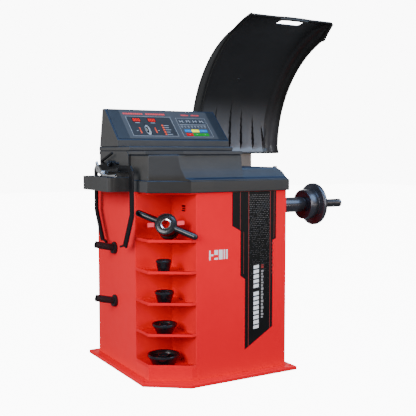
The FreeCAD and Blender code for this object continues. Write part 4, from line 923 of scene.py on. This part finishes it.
def slot_outline():
    """The hand slot, as (X, angle) points: straight below, arched above."""
    left, right = 450, 572
    points = [(434, 72.2), (438, 71.9), (560, 71.9), (566, 72.4), (570, 73.4)]
    for i in range(9):
        share = i / 8
        points.append((right - (right - left) * share,
                       75.3 + 1.5 * math.sin(math.pi * (0.12 + 0.8 * share))))
    points.append((444, 74.9))
    return points


def guard_rim():
    """The rolled edge all round the guard, and the grip over the hand slot."""
    left, right = GUARD_LEFT + 1.5, GUARD_RIGHT + 0.5
    path = [guard_point(left, flange_reach(GUARD_SWEEP * i / 60) - 4, GUARD_SWEEP * i / 60)
            for i in range(60)]
    path.append(guard_point(left + 1, GUARD_INNER + 1, GUARD_SWEEP - 0.3))
    for i in range(41):
        x = left + 8 + (right - 22 - left) * i / 40
        path.append(guard_point(x, GUARD_INNER - 2 - 2 * (free_edge(x) - GUARD_SWEEP),
                                free_edge(x) - 0.15))
    path += [guard_point(right - 4, GUARD_INNER - 3, GUARD_SWEEP - 0.2),
             guard_point(right, GUARD_INNER - 10, GUARD_SWEEP - 0.8)]
    slanted = GUARD_SWEEP - TURN_SLANT
    path += [guard_point(right, TURN_END + 3, slanted - (slanted + GUARD_DIP - 0.4) * i / 60)
             for i in range(61)]
    foot = [guard_point(x, radius - 8, 0.35 - GUARD_DIP) for x, radius in guard_section(0)[4:]]
    bead = [guard_point(GUARD_LEFT + 12, GUARD_INNER - 1.5, (GUARD_SWEEP - 1.5) * i / 60)
            for i in range(61)]
    grip = []
    for i in range(21):
        x = 410 + 156 * i / 20
        grip.append(guard_point(x, GUARD_INNER - 9, free_edge(x) - 0.8))
    bm = bmesh.new()
    add_tube(bm, path, 4.0, 10)
    add_tube(bm, foot, 3.6, 10)
    add_tube(bm, bead, 3.0, 8)
    add_tube(bm, grip, 7.5, 14)
    # The rim is in the paler edge plastic: a painted highlight along the rolled edge.
    add("guard_rim", mesh_of(bm, "guard_rim"), HOOD_EDGE_PAINTED_HIGHLIGHT, "guard", crease=50)


# ---------------------------------------------------------------- spindle

SHAFT_RADIUS, NOSE_RADIUS = 15, 20
THREAD_START, THREAD_END, THREAD_PITCH, THREAD_DEEP = 636.0, 765.0, 6.0, 1.3


def spindle():
    axis = axis_at((0, -126, 708), (1, 0, 0))
    housing = [(60, 31), (60, 33.5), (61.5, 35), (290, 35), (296, 33), (304, 33), (310, 35), (534, 35),
               (538.5, 33.5), (540, 31), (524, 31), (524, 27), (76, 27), (76, 31)]
    turned_node("spindle_housing", housing, axis, 64, HUB)
    hub = [(543, 15), (543, 30), (545, 32), (545, 58), (543, 60), (543, 66), (544.2, 69), (546.5, 70),
           (586, 70), (588, 69.4), (589, 67.5), (591, 66.5), (594, 66.5), (596, 68), (596.8, 70),
           (598, 70), (598, 15)]
    turned_node("spindle_hub", hub, axis, 72, HUB)
    disc = [(598, 15), (598, 93), (600, 97), (603, 99), (614, 99), (618, 97.5), (620, 94), (620, 86),
            (618, 83.5), (614.5, 82.5), (614, 60), (612.5, 58), (612.5, 30), (614, 28), (614, 15)]
    turned_node("mounting_disc", disc, axis, 80, HUB)
    threaded_shaft(axis)
    pulley = [(16, 12), (16, 66), (17.5, 69.5), (18.5, 70)]
    for groove in range(3):
        start = 19.5 + 4.2 * groove
        pulley += [(start, 70), (start + 1.2, 67.5), (start + 2.4, 67.5), (start + 3.2, 70)]
    pulley += [(32.5, 69.5), (34, 66), (34, 12)]
    turned_node("spindle_pulley", pulley, axis, 72, ALLOY)


def threaded_shaft(axis):
    """The shaft with its threaded nose: a screw thread runs round the last stretch."""
    steps = 48
    rows = [(-10, 0), (-10, 10.5), (-8.5, 12), (50, 12), (50, SHAFT_RADIUS), (622, SHAFT_RADIUS),
            (622, NOSE_RADIUS), (634, NOSE_RADIUS)]
    rings = [ring_at(axis, along, max(radius, 0.01), steps) for along, radius in rows]
    count = int((THREAD_END - THREAD_START) / THREAD_PITCH * 4)
    for i in range(count + 1):
        along = THREAD_START + (THREAD_END - THREAD_START) * i / count
        ease = min(1.0, (along - THREAD_START) / 6, (THREAD_END - along) / 6)
        ring = []
        for k in range(steps):
            turn = math.tau * k / steps
            phase = (along / THREAD_PITCH - k / steps) % 1.0
            reach = NOSE_RADIUS - THREAD_DEEP * max(0.0, 1 - abs(phase - 0.5) * 2.6) * ease
            ring.append(axis @ Vector((reach * math.cos(turn), reach * math.sin(turn), along)))
        rings.append(ring)
    rings += [ring_at(axis, along, radius, steps) for along, radius in
              ((767, NOSE_RADIUS), (770, NOSE_RADIUS), (774, 16.2), (774, 6), (771.5, 3), (770, 0.01))]
    for_node("spindle_shaft", loft("spindle_shaft_finished", rings), OILED)


# ---------------------------------------------------------------- tools and cones

CONE_FEET = {"cone_small": 24, "cone_medium": 27.5, "cone_large": 31.5, "cone_extra_large": 50}
CONE_BORE, CONE_RING = 20.1, 24.5
NUT_MIDDLE = (-223.7, -222.1, 652.1)
NUT_TILT, NUT_HEADING = math.radians(26), math.radians(50)
GRIP_END = 50.0         # Y where the dipped grip of the pliers ends


def cones():
    """Each centring cone: turned flank with a rim, a dished top and a ring round the bore."""
    for node, foot in CONE_FEET.items():
        low, high = [Vector(corner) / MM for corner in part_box(node)]
        top = (high.x - low.x) / 2
        tall = high.z - low.z
        middle = (low + high) / 2
        axis = Matrix.Translation((middle.x, middle.y, low.z))
        dish = min(16.0, 0.36 * tall)
        profile = [(0, CONE_BORE), (0, foot - 1.5), (1.5, foot), (0.42 * tall, foot + 0.40 * (top - foot)),
                   (tall - 11, top - 1.6), (tall - 9.5, top - 0.4), (tall - 8, top), (tall - 2, top),
                   (tall - 0.5, top - 1.0), (tall, top - 2.5), (tall - 0.6, top - 5), (tall - 3, top - 7),
                   (tall - dish, max(CONE_RING + 1.5, top - 13)), (tall - dish - 0.5, CONE_RING + 0.8),
                   (tall - dish + 0.5, CONE_RING), (tall - 5, CONE_RING - 0.3),
                   (tall - 4, CONE_RING - 1.2), (tall - 4, CONE_BORE + 0.8), (tall - 5, CONE_BORE)]
        turned_node(node, profile, axis, 72, BLACK, 30)


def quick_nut():
    for node, material, width in (("quick_nut_body", BLACK, 2.2), ("quick_nut_cup", RUBBER, 1.2),
                                  ("quick_nut_levers", LEVER_RED, 2.2)):
        rounded_copy(node, material, width, 4)
    outward = Vector((-math.cos(NUT_TILT) * math.cos(NUT_HEADING),
                      -math.cos(NUT_TILT) * math.sin(NUT_HEADING), math.sin(NUT_TILT)))
    axis = axis_at(NUT_MIDDLE, outward)
    sleeve = [(-22, 20.4), (24.5, 20.4), (26.6, 21.5), (27, 20.5), (26, 17.5), (20, 16.6), (-20, 16.6)]
    collar = [(24.5, 27), (27.2, 27), (28, 28), (28, 40), (27.2, 41.5), (24.5, 41.5)]
    for name, profile, material in (("nut_sleeve", sleeve, CHROME), ("nut_face_ring", collar, BLACK)):
        add(name, lathe(name, profile, axis), material, "quick_nut")


def tools():
    for node in ("caliper_front_arm", "caliper_rear_arm", "caliper_knob"):
        rounded_copy(node, BLACK_ROD, 1.6, 3)
    for node in ("peg_upper", "peg_lower"):
        rounded_copy(node, RUBBER, 1.8, 3)
    rounded_copy("pliers_hammer_half", CHROME, 1.6, 3)
    jaw_half = rounded_copy("pliers_jaw_half", CHROME, 1.6, 3)
    paint_faces(jaw_half, GRIP, lambda face: face.calc_center_median().y < GRIP_END * MM,
                (Vector((0, GRIP_END * MM, 0)), Vector((0, 1, 0))))


# ---------------------------------------------------------------- inside and behind

INLET_PIN_HALF_WIDE, INLET_PIN_HALF_TALL = 1, 2.2


def inside():
    rounded_copy("guard_arm", BRACKET, 1.5, 3)
    rounded_copy("guard_hinge_brackets", BRACKET, 2.0, 3)
    for node, material, width in (("spindle_column", CAST, 2.0), ("spindle_saddle", CAST, 3.0),
                                  ("motor_bracket", BRACKET, 1.0), ("drive_motor", ALLOY, 2.0),
                                  ("drive_belt", RUBBER, 0.4), ("spindle_bearings", STEEL, 0.5),
                                  ("motor_pulley", STEEL, 0.5), ("encoder_disc", STEEL, 0.5),
                                  ("piezo_sensors", STEEL, 0.5), ("distance_gauge", STEEL, 0.5),
                                  ("power_supply", ZINC, 0.8), ("control_board", BOARD, 0.6),
                                  ("power_inlet", SWITCH, 0.8), ("power_rocker", SWITCH, 0.8)):
        rounded_copy(node, material, width)
    low, high = [Vector(corner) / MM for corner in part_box("power_inlet")]
    middle = (low.x + high.x) / 2
    bm = bmesh.new()
    for x, z in ((middle - 7, 281), (middle, 286), (middle + 7, 281)):
        section = rect(x - INLET_PIN_HALF_WIDE, z - INLET_PIN_HALF_TALL,
                       x + INLET_PIN_HALF_WIDE, z + INLET_PIN_HALF_TALL)
        add_loft(bm, [[(u, y, v) for u, v in section] for y in (300.5, 312, 313)])
    add("inlet_pins", mesh_of(bm, "inlet_pins"), BRASS, "cabinet")


studio()
cabinet()
head()
control_panel()
wheel_guard()
spindle()
cones()
quick_nut()
tools()
inside()
